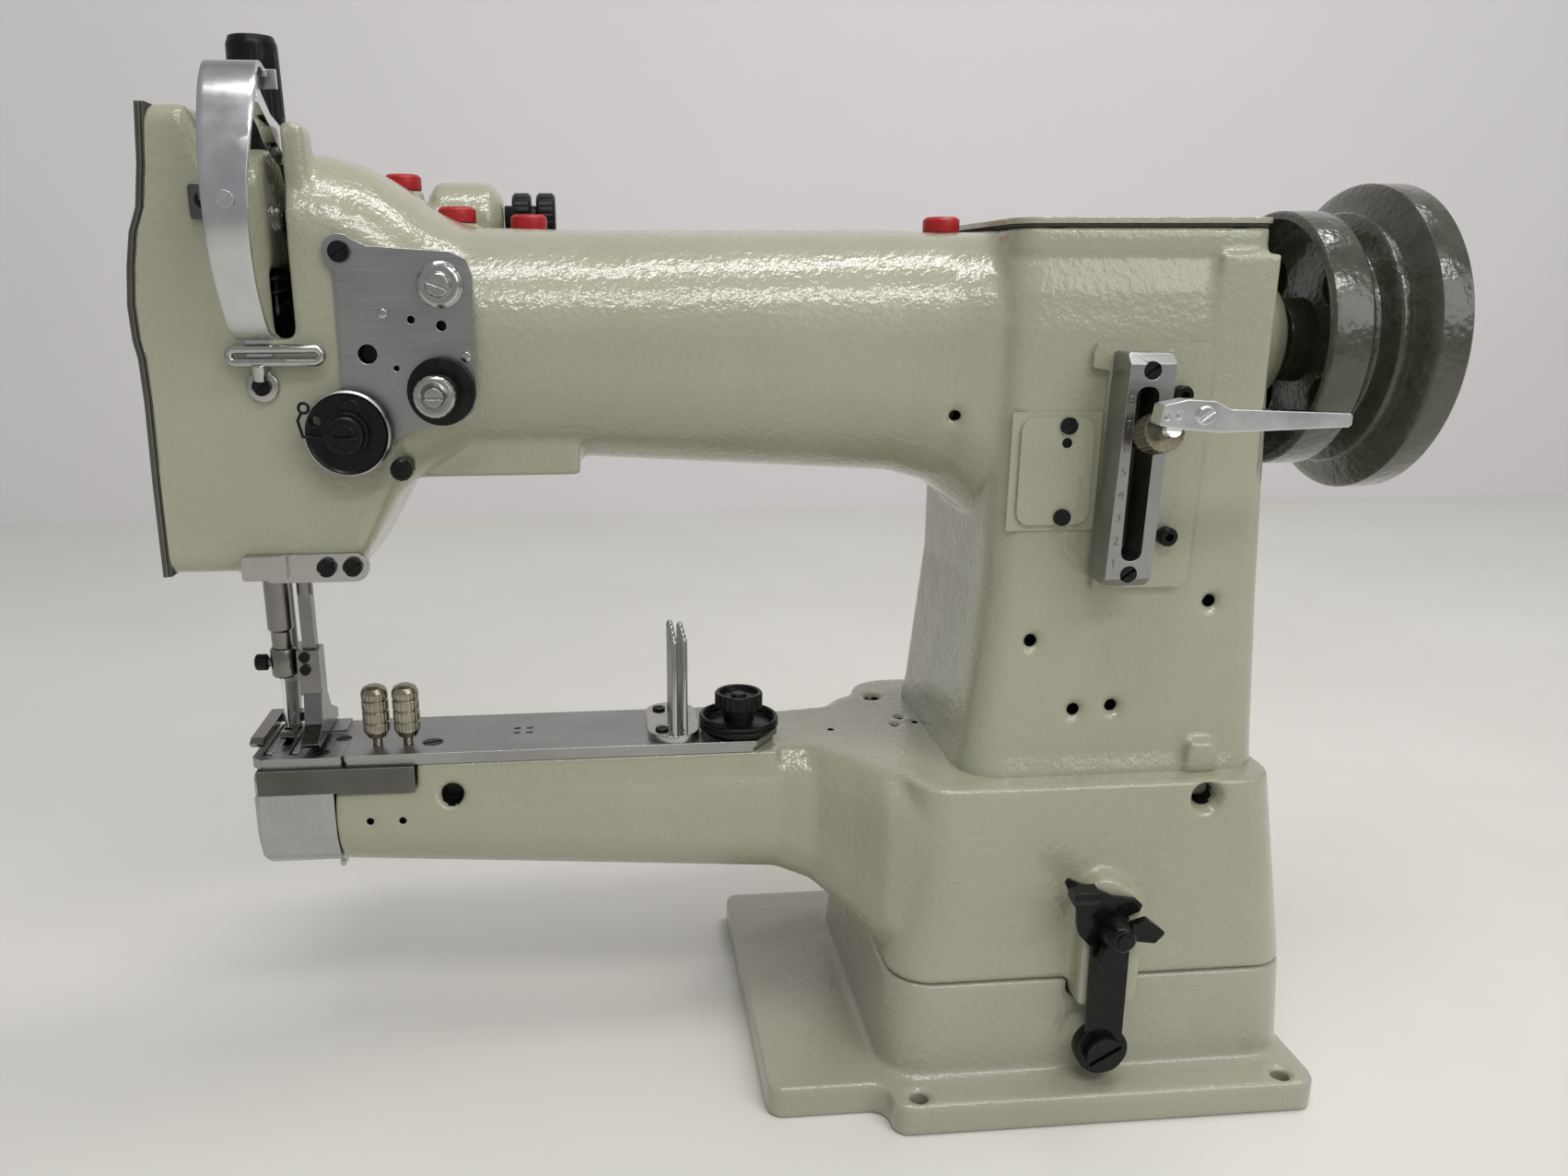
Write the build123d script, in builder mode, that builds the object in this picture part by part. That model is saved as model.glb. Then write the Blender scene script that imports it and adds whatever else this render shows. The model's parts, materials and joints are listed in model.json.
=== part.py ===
"""Cylinder-bed, compound-feed leather sewing machine on its base, as separate pieces.

Frame, in millimetres: the origin is the centre of the base's four mounting holes, on the underside
of the base. +X runs from the needle to the handwheel, -Y faces the operator and +Z is up.
"""

import os
from math import acos, cos, pi, radians, sin, tan

from build123d import *

os.makedirs("parts", exist_ok=True)

# ------------------------------------------------------------------ driving dimensions
running = 0.05  # radial clearance of a shaft in its bush
gap = 0.3  # clearance between pieces that pass each other

needle_x = -310.0
bar_axis_x = -309.0  # needle bar and vibrating bar
presser_x = -298.5
take_up_x = -287.0
shaft_z = 287.0  # main shaft
shaft_r = 7.5
lower_z = 74.25  # lower shaft, one gear centre distance under the hook shaft
hook_z = 108.0
small_shaft_r = 5.0

flange_t = 13.4
seam_z = 52.0  # base to bed
bed_face = 131.5  # top of the bed casting
plate_seat = 132.0  # machined top of the cylinder arm
bed_top = 136.0  # sewing surface
column_top = 327.0
head_half_y = 42.0
head_bottom = 213.0
barrel_r = 40.0
column_half_y = 50.0

mount_dx = 143.0
mount_dy = 157.0
mount_hole_r = 3.5

belt_x0, belt_x1 = 10.0, 22.0
sprocket_r = 20.0
gear_x0, gear_x1 = -52.0, -42.0
gear_module = 1.25
gear_teeth, pinion_teeth = 36, 18
web_x0, web_x1 = -32.0, -20.0  # cast web inside the bed that carries both shafts
crank_r = 16.0
needle_bar_r = 4.75

AXIAL = (Align.CENTER, Align.CENTER, Align.MIN)
TO_FRONT = (90, 0, 0)  # turns local Z to -Y
TO_BACK = (-90, 0, 0)  # turns local Z to +Y
TO_RIGHT = (0, 90, 0)  # turns local Z to +X
TO_LEFT = (0, -90, 0)  # turns local Z to -X


# ------------------------------------------------------------------ small builders
def bar_x(radius, x0, x1, y, z, mode=Mode.ADD):
    with Locations(Location((x0, y, z), TO_RIGHT)):
        Cylinder(radius, x1 - x0, align=AXIAL, mode=mode)


def bar_y(radius, y0, y1, x, z, mode=Mode.ADD):
    with Locations(Location((x, y0, z), TO_BACK)):
        Cylinder(radius, y1 - y0, align=AXIAL, mode=mode)


def bar_z(radius, z0, z1, x, y, mode=Mode.ADD):
    with Locations((x, y, z0)):
        Cylinder(radius, z1 - z0, align=AXIAL, mode=mode)


def block(x0, x1, y0, y1, z0, z1, mode=Mode.ADD):
    with Locations(((x0 + x1) / 2, (y0 + y1) / 2, (z0 + z1) / 2)):
        Box(x1 - x0, y1 - y0, z1 - z0, mode=mode)


def panel(points, plane, depth, corner=0.0, mode=Mode.ADD):
    """Straight-sided outline on a plane, its corners rounded, raised by depth."""
    with BuildSketch(plane) as outline:
        with BuildLine():
            Polyline(*points, close=True)
        make_face()
        if corner:
            fillet(outline.vertices(), corner)
    extrude(outline.sketch, amount=depth, mode=mode)


def panel_x(points, x0, x1, corner=0.0, mode=Mode.ADD):
    """Outline of (y, z) points, from x0 to x1."""
    panel(points, Plane((x0, 0, 0), x_dir=(0, 1, 0), z_dir=(1, 0, 0)), x1 - x0, corner, mode)


def panel_y(points, y0, y1, corner=0.0, mode=Mode.ADD):
    """Outline of (x, z) points, from y1 towards the operator to y0."""
    panel(points, Plane((0, y1, 0), x_dir=(1, 0, 0), z_dir=(0, -1, 0)), y1 - y0, corner, mode)


def panel_z(points, z0, z1, corner=0.0, mode=Mode.ADD):
    """Outline of (x, y) points, from z0 to z1."""
    panel(points, Plane.XY.offset(z0), z1 - z0, corner, mode)


def turned(points, plane, axis, mode):
    with BuildSketch(plane) as section:
        with BuildLine():
            Polyline(*points, close=True)
        make_face()
    revolve(section.sketch, axis=axis, mode=mode)


def turned_x(points, y, z, mode=Mode.ADD):
    """Profile of (x, radius) points, turned about a line along X."""
    plane = Plane((0, y, z), x_dir=(1, 0, 0), z_dir=(0, -1, 0))
    turned(points, plane, Axis((0, y, z), (1, 0, 0)), mode)


def turned_y(points, x, z, mode=Mode.ADD):
    """Profile of (y, radius) points, turned about a line along Y."""
    plane = Plane((x, 0, z), x_dir=(0, 1, 0), z_dir=(1, 0, 0))
    turned(points, plane, Axis((x, 0, z), (0, 1, 0)), mode)


def turned_z(points, x, y, mode=Mode.ADD):
    """Profile of (radius, z) points, turned about a line along Z."""
    plane = Plane((x, y, 0), x_dir=(1, 0, 0), z_dir=(0, -1, 0))
    turned(points, plane, Axis((x, y, 0), (0, 0, 1)), mode)


def cheese_screw(seat, turn, head_r, head_h, shank_r, shank_len, slot_angle=35):
    """Slotted cheese-head screw; the head rises from its seat along local Z, the shank goes down."""
    with Locations(Location(seat, turn)):
        Cylinder(head_r, head_h, align=AXIAL)
        Cylinder(shank_r, shank_len, align=(Align.CENTER, Align.CENTER, Align.MAX))
        with Locations(Location((0, 0, head_h), (0, 0, slot_angle))):
            Box(head_r * 2.4, head_r * 0.36, head_h * 0.9, mode=Mode.SUBTRACT)


def countersunk_screw(x, y, top, head_r, shank_r, length):
    depth = head_r - shank_r
    turned_z([(0, top), (head_r, top), (shank_r, top - depth), (shank_r, top - length), (0, top - length)], x, y)
    with Locations(Location((x, y, top), (0, 0, 25))):
        Box(head_r * 2.4, head_r * 0.3, 1.4, mode=Mode.SUBTRACT)


def knurl(radius, count, cut_r, length, place):
    """Row of round grooves that knurls a round knob; place is one end of its axis."""
    with Locations(place):
        with PolarLocations(radius, count):
            Cylinder(cut_r, length, align=AXIAL, mode=Mode.SUBTRACT)


def keep(builder, name):
    builder.part.label = name
    export_step(builder.part, f"parts/{name}.step")


def keep_together(builders, name):
    """Pieces that touch but stay separate solids, in one file."""
    group = Compound(children=[builder.part for builder in builders])
    group.label = name
    export_step(group, f"parts/{name}.step")


def rounded_section(x, z0, z1, half_y, corner):
    """Rounded rectangle across the X axis, for the castings' lofts."""
    plane = Plane((x, 0, (z0 + z1) / 2), x_dir=(0, 1, 0), z_dir=(1, 0, 0))
    with BuildSketch(plane) as section:
        RectangleRounded(2 * half_y, z1 - z0, corner)
    return section.sketch


def head_section(x, z0, z1, half_y, corner, crown):
    """Like rounded_section, with rounder corners at the top."""
    plane = Plane((x, 0, (z0 + z1) / 2), x_dir=(0, 1, 0), z_dir=(1, 0, 0))
    with BuildSketch(plane) as section:
        Rectangle(2 * half_y, z1 - z0)
        fillet(section.vertices().group_by(Axis.Y)[0], corner)
        fillet(section.vertices().group_by(Axis.Y)[-1], crown)
    return section.sketch


def level_section(z, x0, x1, half_y, corner):
    """Rounded rectangle at a height, for the castings' lofts."""
    with BuildSketch(Plane((( x0 + x1) / 2, 0, z))) as section:
        RectangleRounded(x1 - x0, 2 * half_y, corner)
    return section.sketch


# ------------------------------------------------------------------ shared places
needle_plate_screws = [(needle_x + 15, -14.5), (needle_x + 21, 0.0)]
bed_plate_screws = [(needle_x + 57, -10.1), (needle_x + 178, 12.0)]
pin_plate_screws = [(needle_x + 146.5, -13.7), (needle_x + 146.5, 10.1)]
front_cover_screws = [(-23.0, 261.3), (-23.1, 229.2)]
scale_screws = [(-1.6, 280.8), (-3.4, 211.4)]
backing_screws = [(15.6, 271.4), (15.2, 221.9)]
tension_plate_screws = [(-266.7, 319.4)]
bracket_screws = [(-279.3, 215.9), (-270.6, 215.9)]
top_cover_screws = [(-30.0, -43.4), (34.0, -43.4), (-30.0, 43.4), (34.0, 43.4)]
guard_screw_x, guard_screw_z = -306.5, 335.0
bed_side_hole = (36.5, 124.5)
lever_slot = [(-6.4, 275.6), (-6.9, 216.1), (0.5, 216.1), (1.6, 275.6)]
oil_plug_places = [(-254.3, 22.0, 342.3), (-233.5, 5.0, 330.2), (-208.5, 14.0, 328.0)]
arm_root_plug_place = (-57.0, 0.0, 326.6)
guide_post_places = [(needle_x + 36.2, -11.0), (needle_x + 47.8, -11.0)]
latch_x, latch_z = -0.8, 27.5
latch_stud_z = 79.3
regulator_y, regulator_z = -10.0, 246.0
take_up_y, take_up_z = -8.0, 330.0
lift_x, lift_z = -288.0, 236.0
bed_tension_place = (needle_x + 177.5, -8.0)
main_tension_place = (-236.6, 275.0)
pre_tension_place = (-235.3, 309.0)
check_place = (-267.8, 261.8)
thumbscrew_place = (-250.6, 250.1)

# ================================================================== base
with BuildPart() as base_casting:
    panel_z([(-128, -70), (-82, -70), (-82, -85), (84, -85), (84, 85), (-128, 85)], 0, flange_t, 6.5)
    loft([level_section(flange_t - 1, -83, 82, 68, 17), level_section(seam_z, -80, 79.5, 66, 17)])
    # hollow and open underneath, round the drive
    block(-70, 68, -56, 56, -1, seam_z + 1, Mode.SUBTRACT)
    # notch that the latch boss of the bed drops into
    block(-12, 13.5, -70, -58, 44.5, seam_z + 1, Mode.SUBTRACT)
    # boss of the latch pivot
    bar_y(10, -71.5, -60, latch_x, latch_z)
    bar_y(3 + running, -72, -58, latch_x, latch_z, Mode.SUBTRACT)
    with GridLocations(mount_dx, mount_dy, 2, 2):
        with Locations((0, 0, flange_t)):
            Hole(mount_hole_r)
keep(base_casting, "base_casting")

# ================================================================== bed
with BuildPart() as bed_casting:
    loft([level_section(seam_z, -80, 79.5, 66, 17), level_section(bed_face, -74, 65, 65, 16)])
    # cylinder arm, flaring into the box like a trumpet
    flare = [
        rounded_section(-290, 87.5, plate_seat, 23, 21),
        rounded_section(-118, 76.5, plate_seat, 25, 21),
        rounded_section(-104, 73, bed_face, 30, 20),
        rounded_section(-92, 66, bed_face, 43, 20),
        rounded_section(-82, 58, bed_face, 56, 20),
        rounded_section(-68, seam_z, bed_face, 63, 18),
    ]
    loft(flare, ruled=True)
    # flat top of the cylinder arm and the platform next to the column
    block(-290, -118, -21, 21, 118, plate_seat)
    panel_z([(-120, -17), (-64, -13), (-52, -50), (-45, -50), (-45, 47), (-70, 47), (-86, 32), (-120, 27)],
            118, bed_face, 3)
    # boss for the latch stud
    panel_y([(-11, 45), (12, 45), (12, 84), (8, 92), (1, 97), (-4.5, 98.6), (-10, 95), (-11, 88)], -74.5, -60, 2.5)
    bar_y(2.5, -76, -64, latch_x, latch_stud_z, Mode.SUBTRACT)
    # box cavity, open at the bottom, with the web that carries the shafts
    block(-68, web_x0, -52, 52, seam_z - 1, 121, Mode.SUBTRACT)
    block(web_x1, 56, -52, 52, seam_z - 1, 121, Mode.SUBTRACT)
    # belt opening into the column
    block(0, 32, -30, 30, 115, bed_face + 1, Mode.SUBTRACT)
    # trench for the hook shaft and the feed bar
    bar_x(12, -291, -66, 0, hook_z, Mode.SUBTRACT)
    block(-292, -125, 4, 18.8, 110, 122, Mode.SUBTRACT)
    block(-256, -125, -13, 13, 100, plate_seat + 1, Mode.SUBTRACT)
    # seat of the needle-plate carrier
    block(-292, -259 + gap, -30, 30, 122 - gap, plate_seat + 1, Mode.SUBTRACT)
    # bores
    bar_x(small_shaft_r + running, web_x0 - 1, web_x1 + 1, 0, hook_z, Mode.SUBTRACT)
    bar_x(8, web_x0 - 1, web_x1 + 1, 0, lower_z, Mode.SUBTRACT)
    bar_x(8, 55, 70, 0, lower_z, Mode.SUBTRACT)
    # dished holes low beside the column, front and back
    hole_x, hole_z = bed_side_hole
    for side in (-1, 1):
        turned_y([(side * 72, 0), (side * 72, 7), (side * 63.5, 6.4), (side * 61, 4.4), (side * 50, 4.4),
                  (side * 50, 0)], hole_x, hole_z, Mode.SUBTRACT)
    # open holes on the front of the arm and on the platform
    bar_y(4.5, -25, -18, needle_x + 64.6, 119, Mode.SUBTRACT)
    bar_y(1.5, -25, -18, needle_x + 33, 110, Mode.SUBTRACT)
    bar_y(1.5, -25, -18, needle_x + 45.4, 110, Mode.SUBTRACT)
    bar_z(3.5, 120, bed_face + 1, -67, 41, Mode.SUBTRACT)
    with Locations((-93, 2, bed_face), (-61, 14, bed_face), (-65, 6, bed_face), (-56, 8, bed_face)):
        Hole(1.6, 8)
    for x, y in bed_plate_screws:
        bar_z(2.0, 121, plate_seat + 1, x, y, Mode.SUBTRACT)
keep(bed_casting, "bed_casting")

# ================================================================== arm, head and column
# left face of the head, (x, z), from the top down
wave = [(-325.5, 364.2), (-327, 346), (-329, 333), (-332, 325.5), (-334, 315), (-335.4, 303), (-335.2, 292),
        (-334.2, 286), (-334, 272), (-334.8, 244), (-335.2, 212.8)]
faceplate_t = 1.8
gasket_t = 1.0


def shifted(points, amount):
    return [(x + amount, z) for x, z in points]


def wave_band(x_from, x_to):
    """Strip between two copies of the head's left face."""
    return shifted(wave, x_from) + shifted(wave, x_to)[::-1]


with BuildPart() as arm_casting:
    head = [
        head_section(-342, head_bottom, 364, head_half_y, 7, 6),
        head_section(-312, head_bottom, 364, head_half_y, 7, 6),
        head_section(-307, head_bottom, 352, head_half_y, 7, 16),
        head_section(-290, head_bottom, 352.5, head_half_y, 7, 26),
        head_section(-272, 209.5, 350.5, head_half_y, 8, 28),
        head_section(-262, 226, 348, head_half_y, 10, 30),
        head_section(-255, 238, 344.5, head_half_y, 14, 32),
        head_section(-248, 244, 340, head_half_y, 20, 34),
        head_section(-240, 245.5, 334, 41.5, 28, 36),
        head_section(-229, 247, 328.5, barrel_r, 38, 38),
        head_section(-189, 247, 327.5, barrel_r, 38, 38),
        head_section(-76, 240, 327.5, barrel_r + 1, 38, 38),
        head_section(-61, 236, column_top - 0.6, 42, 36, 36),
        head_section(-40, 220, column_top - 0.6, 46, 30, 30),
    ]
    loft(head, ruled=True)
    column = [
        level_section(bed_face, -54, 63.5, 55, 16),
        level_section(140, -52, 62.5, 52, 12),
        level_section(200, -46.5, 58, column_half_y, 11),
        level_section(294, -47, 51.5, column_half_y, 11),
        level_section(306, -46.6, 51, 49.2, 11),
        level_section(315, -46, 50.5, 47.2, 11),
        level_section(column_top - 0.2, -44, 49.5, 43, 11),
    ]
    loft(column, ruled=True)
    # web under the arm, next to the head
    block(-258, -192, -26, 26, 243, 262)
    # bearing dome on the handwheel side
    turned_x([(40, 0), (40, 28.5), (54, 27.8), (64, 25.8), (70, 22), (73, 17.5), (73.6, 12), (73.6, 0)], 0, shaft_z)
    # flange under the top cover
    panel_z([(-44, -47.5), (47, -48), (47, 48), (-44, 47.5)], 319, column_top, 8)
    # flat band down the right of the front and back
    block(27.2, 48, -column_half_y - 0.4, -30, 200, 318)
    block(27.2, 48, 30, column_half_y + 0.4, 200, 318)
    # cast details: rib on the crown, lifting housing at the back, tab at the column foot
    panel_y([(-284.6, 340), (-276.2, 340), (-276.2, 359), (-284.6, 359)], -38, -23, 2.5)
    turned_x([(-247, 0), (-247, 9), (-243, 15), (-223, 15), (-218.5, 9), (-218.5, 0)], 34, 331)
    panel_y([(30.5, bed_face), (42.5, bed_face), (42, 143.5), (31.5, 143.5)], -57, -48, 1.5)
    for x, y, z in oil_plug_places:
        bar_z(7.4, z - 14, z, x, y)
        bar_z(7.4, z, z + 9, x, y, Mode.SUBTRACT)
    # left end is cut to the wave, behind the faceplate and its gasket
    panel_y([(-350, 370)] + shifted(wave, faceplate_t + gasket_t) + [(-350, 205)], -50, 50, mode=Mode.SUBTRACT)
    # chambers of the head
    block(-345, -275, -34, 34, 216, 241, Mode.SUBTRACT)
    block(-345, -262, -34, 34, 240, 314, Mode.SUBTRACT)
    block(-345, -293, -34, 34, 313, 344, Mode.SUBTRACT)
    block(-345, -314, -20, 24, 343, 352, Mode.SUBTRACT)
    block(-323, -303, -12, 24, 205, 217, Mode.SUBTRACT)
    # lug that holds the pivot of the needle-bar frame, and bridge that guides the presser bar
    block(-314, -304.5, -9, 9, 335, 345)
    bar_x(4, -315, -303, 0, 340, Mode.SUBTRACT)
    block(-302.6, -286, -35, 35, 266, 276)
    bar_z(4.6, 265, 277, presser_x, 0, Mode.SUBTRACT)
    bar_z(4.6, 205, 217, presser_x, 0, Mode.SUBTRACT)
    # face beside the slot falls back towards it
    panel_z([(-299, -43), (-290, -43), (-290, -34.5)], 292, 372, mode=Mode.SUBTRACT)
    # take-up slot and its pivot bore
    block(take_up_x - 3.5, take_up_x + 3.5, -60, 0, 292, 372, Mode.SUBTRACT)
    bar_x(3 + running, take_up_x - 10, take_up_x + 12, take_up_y, take_up_z, Mode.SUBTRACT)
    # bore for the pressure screw and the lifting cam
    bar_z(5 + running, 343, 353, presser_x, 0, Mode.SUBTRACT)
    bar_y(4 + running, 30, 44, lift_x, lift_z, Mode.SUBTRACT)
    # hollow arm and hollow column
    bar_x(25, -240, -35, 0, shaft_z, Mode.SUBTRACT)
    block(-36, 40, -39, 39, bed_face - 1, column_top + 1, Mode.SUBTRACT)
    bar_x(11, -263, -238, 0, shaft_z, Mode.SUBTRACT)
    bar_x(11, 38, 75, 0, shaft_z, Mode.SUBTRACT)
    # lug and bores of the stitch regulator, and the slot of its lever
    block(2.5, 7.5, -40, 0, 238, 254)
    bar_x(small_shaft_r + running, -42, 8, regulator_y, regulator_z, Mode.SUBTRACT)
    panel_y(lever_slot, -56, -38, 3.4, Mode.SUBTRACT)
    # tapped holes for attachments on the column and the arm
    for x, z in [(-30, 183), (37, 196), (-12, 156), (2.5, 157)]:
        bar_y(2.4, -60, -44, x, z, Mode.SUBTRACT)
    bar_y(2.0, -50, -30, -60, 264, Mode.SUBTRACT)
    # seats of the screws and studs that stand on the front faces
    for x, z in front_cover_screws + backing_screws:
        bar_y(1.6, -52, -42, x, z, Mode.SUBTRACT)
    for x, z in scale_screws:
        bar_y(1.6, -52, -42, x, z, Mode.SUBTRACT)
    for x, z in tension_plate_screws + bracket_screws:
        bar_y(1.6, -43, -35.5, x, z, Mode.SUBTRACT)
    bar_y(2.2, -43, -35.5, thumbscrew_place[0], thumbscrew_place[1], Mode.SUBTRACT)
    bar_y(2.0, -43, -35.5, -295, 277, Mode.SUBTRACT)
    bar_y(2.0, -43, -35.5, guard_screw_x, guard_screw_z, Mode.SUBTRACT)
    for x, y in top_cover_screws:
        bar_z(2.0, 318, column_top + 1, x, y, Mode.SUBTRACT)
    # oil holes
    for x, y, z in oil_plug_places + [arm_root_plug_place]:
        bar_z(4.0, z - 10, z + 10, x, y, Mode.SUBTRACT)
keep(arm_casting, "arm_casting")

# ================================================================== covers and plates
with BuildPart() as faceplate:
    panel_y(wave_band(0, faceplate_t), -head_half_y, head_half_y)
keep(faceplate, "faceplate")

with BuildPart() as cover_gaskets:
    panel_y(wave_band(faceplate_t, faceplate_t + gasket_t), -head_half_y + 0.6, head_half_y - 0.6)
    panel_z([(-43.4, -47), (46.4, -47.5), (46.4, 47.5), (-43.4, 47)], column_top, column_top + 1, 7.4)
    for x, y in top_cover_screws:
        bar_z(2.0, column_top - 1, column_top + 2, x, y, Mode.SUBTRACT)
keep(cover_gaskets, "cover_gaskets")

with BuildPart() as column_top_cover:
    panel_z([(-44.6, -48.2), (47.6, -48.8), (47.6, 48.8), (-44.6, 48.2)], column_top + 1, column_top + 3, 8.6)
    with Locations(*[(x, y, column_top + 3) for x, y in top_cover_screws]):
        CounterSinkHole(2.0, 3.5, 8, 90)
keep(column_top_cover, "column_top_cover")

with BuildPart() as oil_plugs:
    for x, y, z in oil_plug_places + [arm_root_plug_place]:
        turned_z([(0, z - 8), (3.9, z - 8), (3.9, z), (6.7, z), (6.7, z + 4.4), (5.6, z + 5.4), (0, z + 5.4)], x, y)
keep(oil_plugs, "oil_plugs")

with BuildPart() as front_cover_plate:
    panel_y([(-39.5, 226.5), (-13.5, 226.5), (-13.5, 264), (-39.5, 264)], -52, -50.8, 5)
    panel_y([(-42.7, 224.3), (-10.6, 224.3), (-10.6, 266), (-42.7, 266)], -50.8, -50, 1)
    with Locations((-42.7, -50.4, 245)):
        Box(0.2, 2, 44, mode=Mode.SUBTRACT)
    for x, z in front_cover_screws:
        bar_y(1.6, -54, -49, x, z, Mode.SUBTRACT)
    bar_y(1.8, -54, -51, -23.1, 255.3, Mode.SUBTRACT)
keep(front_cover_plate, "front_cover_plate")

with BuildPart() as regulator_backing_plate:
    panel_y([(-10, 203), (23, 203), (25.3, 206), (26.6, 287), (24, 289), (-14.6, 289), (-16, 286), (-16, 281), (-10, 280)],
            -52.6, -50, 0.8)
    panel_y(lever_slot, -54, -48, 3.4, Mode.SUBTRACT)
    for x, z in scale_screws + backing_screws:
        bar_y(1.6, -54, -49, x, z, Mode.SUBTRACT)
keep(regulator_backing_plate, "regulator_backing_plate")

with BuildPart() as stitch_scale_block:
    panel_y([(-11.8, 207), (4.5, 206.6), (6.7, 286.2), (-9.1, 286.7)], -67, -52.6, 1.5)
    # bevelled ends
    panel_x([(-68, 205), (-62, 205), (-68, 211)], -20, 20, mode=Mode.SUBTRACT)
    panel_x([(-68, 288), (-62, 288), (-68, 282)], -20, 20, mode=Mode.SUBTRACT)
    panel_y(lever_slot, -70, -50, 3.4, Mode.SUBTRACT)
    for x, z in scale_screws:
        bar_y(1.6, -68, -50, x, z, Mode.SUBTRACT)
        bar_y(3.1, -68, -63.5, x, z, Mode.SUBTRACT)
keep(stitch_scale_block, "stitch_scale_block")

with BuildPart() as casting_screws:
    for x, z in scale_screws:
        cheese_screw((x, -63.5, z), TO_FRONT, 3.0, 3.2, 1.6, 18)
    for x, z in front_cover_screws:
        cheese_screw((x, -52, z), TO_FRONT, 3.0, 1.2, 1.6, 9)
    for x, z in backing_screws:
        turned_y([(-44, 0), (-44, 1.6), (-52.6, 1.6), (-52.6, 3.4), (-56, 3.4), (-56.6, 3), (-56.6, 1.6), (-54, 1.6),
                  (-54, 0)], x, z)
    for x, y in top_cover_screws:
        countersunk_screw(x, y, column_top + 3, 3.4, 1.9, 10)
    for x, z in tension_plate_screws:
        cheese_screw((x, -44, z), TO_FRONT, 3.4, 2.0, 1.6, 8)
    for x, z in bracket_screws:
        cheese_screw((x, -45.2, z), TO_FRONT, 3.2, 2.0, 1.6, 9)
    cheese_screw((-295, -43.9, 277), TO_FRONT, 3.0, 2.0, 2.0, 7)
    cheese_screw((guard_screw_x, -43.6, guard_screw_z), TO_FRONT, 3.0, 2.2, 1.9, 7)
    cheese_screw((-292.2, -74.6, 333.4), TO_FRONT, 2.6, 0.9, 1.3, 2.4)
# ================================================================== top of the cylinder arm
with BuildPart() as needle_plate_carrier:
    block(-318, -259, -22.6, 22.6, 122, plate_seat)
    block(-319, -282, -16, 19.2, 120, plate_seat + 1, Mode.SUBTRACT)
    bar_x(17.8, -319, -289, 0, hook_z, Mode.SUBTRACT)
    block(-291, -258, 4, 19.2, 121, 125, Mode.SUBTRACT)
    for x, y in [(needle_x + 42, -17.0), (needle_x + 42, 17.0)]:
        bar_z(1.8, 121, plate_seat + 1, x, y, Mode.SUBTRACT)
keep(needle_plate_carrier, "needle_plate_carrier")

rail_rows = [(-316.4, -313.6), (-306.6, -303.8)]

with BuildPart() as needle_plate:
    panel_z([(-320, -17), (-316, -20.5), (-286, -20.5), (-286, 20.5), (-316, 20.5), (-320, 17)],
            plate_seat, bed_top, 1.4)
    # raised corner block of the plate
    block(-302.8, -289, 6, 19, bed_top - 1, bed_top + 1.6)
    bar_z(1.6, bed_top - 1, bed_top + 3, -297, 15.5, Mode.SUBTRACT)
    for x0, x1 in rail_rows:
        block(x0 - 0.5, x1 + 0.5, -16, 18.6, 131, 137, Mode.SUBTRACT)
    block(-311.7, -308.3, -5.6, 5.6, 131, 137, Mode.SUBTRACT)
    with Locations(*[(x, y, bed_top) for x, y in needle_plate_screws]):
        CounterSinkHole(1.8, 3.4, 5, 90)
keep(needle_plate, "needle_plate")

with BuildPart() as bed_cover_plate:
    panel_z([(-285.4, -22), (-127, -22), (-117, -8), (-117, 13), (-123, 19), (-285.4, 19)],
            plate_seat + 2.6, bed_top + 1, 1.5)
    # narrower underside, so the edge of the plate stands clear
    panel_z([(-285.4, -20.4), (-128, -20.4), (-118.6, -8), (-118.6, 12), (-124, 17.6), (-285.4, 17.6)],
            plate_seat, plate_seat + 2.6, 1)
    block(-286, -257, -17, 17.5, 131, 132.5, Mode.SUBTRACT)
    with Locations(*[(x, y, bed_top + 1) for x, y in bed_plate_screws]):
        CounterSinkHole(2.0, 4.2, 8, 90)
    for x, y in pin_plate_screws + [(-221, 2), (-216, 2), (-221, -3), (-216, -3)]:
        bar_z(1.4, 131, 138, x, y, Mode.SUBTRACT)
    for x, y in guide_post_places:
        bar_z(2.0, 131, 138, x, y, Mode.SUBTRACT)
    bar_z(2.5, 131, 138, bed_tension_place[0], bed_tension_place[1], Mode.SUBTRACT)
keep(bed_cover_plate, "bed_cover_plate")


pin_plate_top = bed_top + 1 + 3


with BuildPart() as bed_screws:
    for x, y in needle_plate_screws:
        countersunk_screw(x, y, bed_top, 3.3, 1.7, 4)
    for x, y in bed_plate_screws:
        countersunk_screw(x, y, bed_top + 1, 4.1, 1.9, 14)
    for x, y in pin_plate_screws:
        cheese_screw((x, y, pin_plate_top), (0, 0, 0), 2.6, 0.9, 1.4, 7)
keep_together([casting_screws, bed_screws], "slotted_screws")

with BuildPart() as guide_posts:
    for x, y in guide_post_places:
        turned_z([(0, 133), (1.9, 133), (1.9, 140.6), (3.6, 140.8), (5.05, 143.5), (5.05, 146.4), (4.4, 146.9),
                  (5.05, 147.4), (5.05, 151), (4.4, 151.5), (5.05, 152), (5.05, 155.5), (4.2, 156), (5.05, 156.5),
                  (5.05, 158.8), (4.2, 160.6), (2.4, 161.5), (0, 161.7)], x, y)
        knurl(5.35, 20, 0.5, 14.6, Location((x, y, 143.8)))
keep(guide_posts, "guide_posts")

pin_places = [(needle_x + 151.3, y) for y in (-19, -13, -5.5, 2.5, 9.5)]
pin_places += [(needle_x + 155.2, y) for y in (-16, -8.5, -1.5, 6)]

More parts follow.
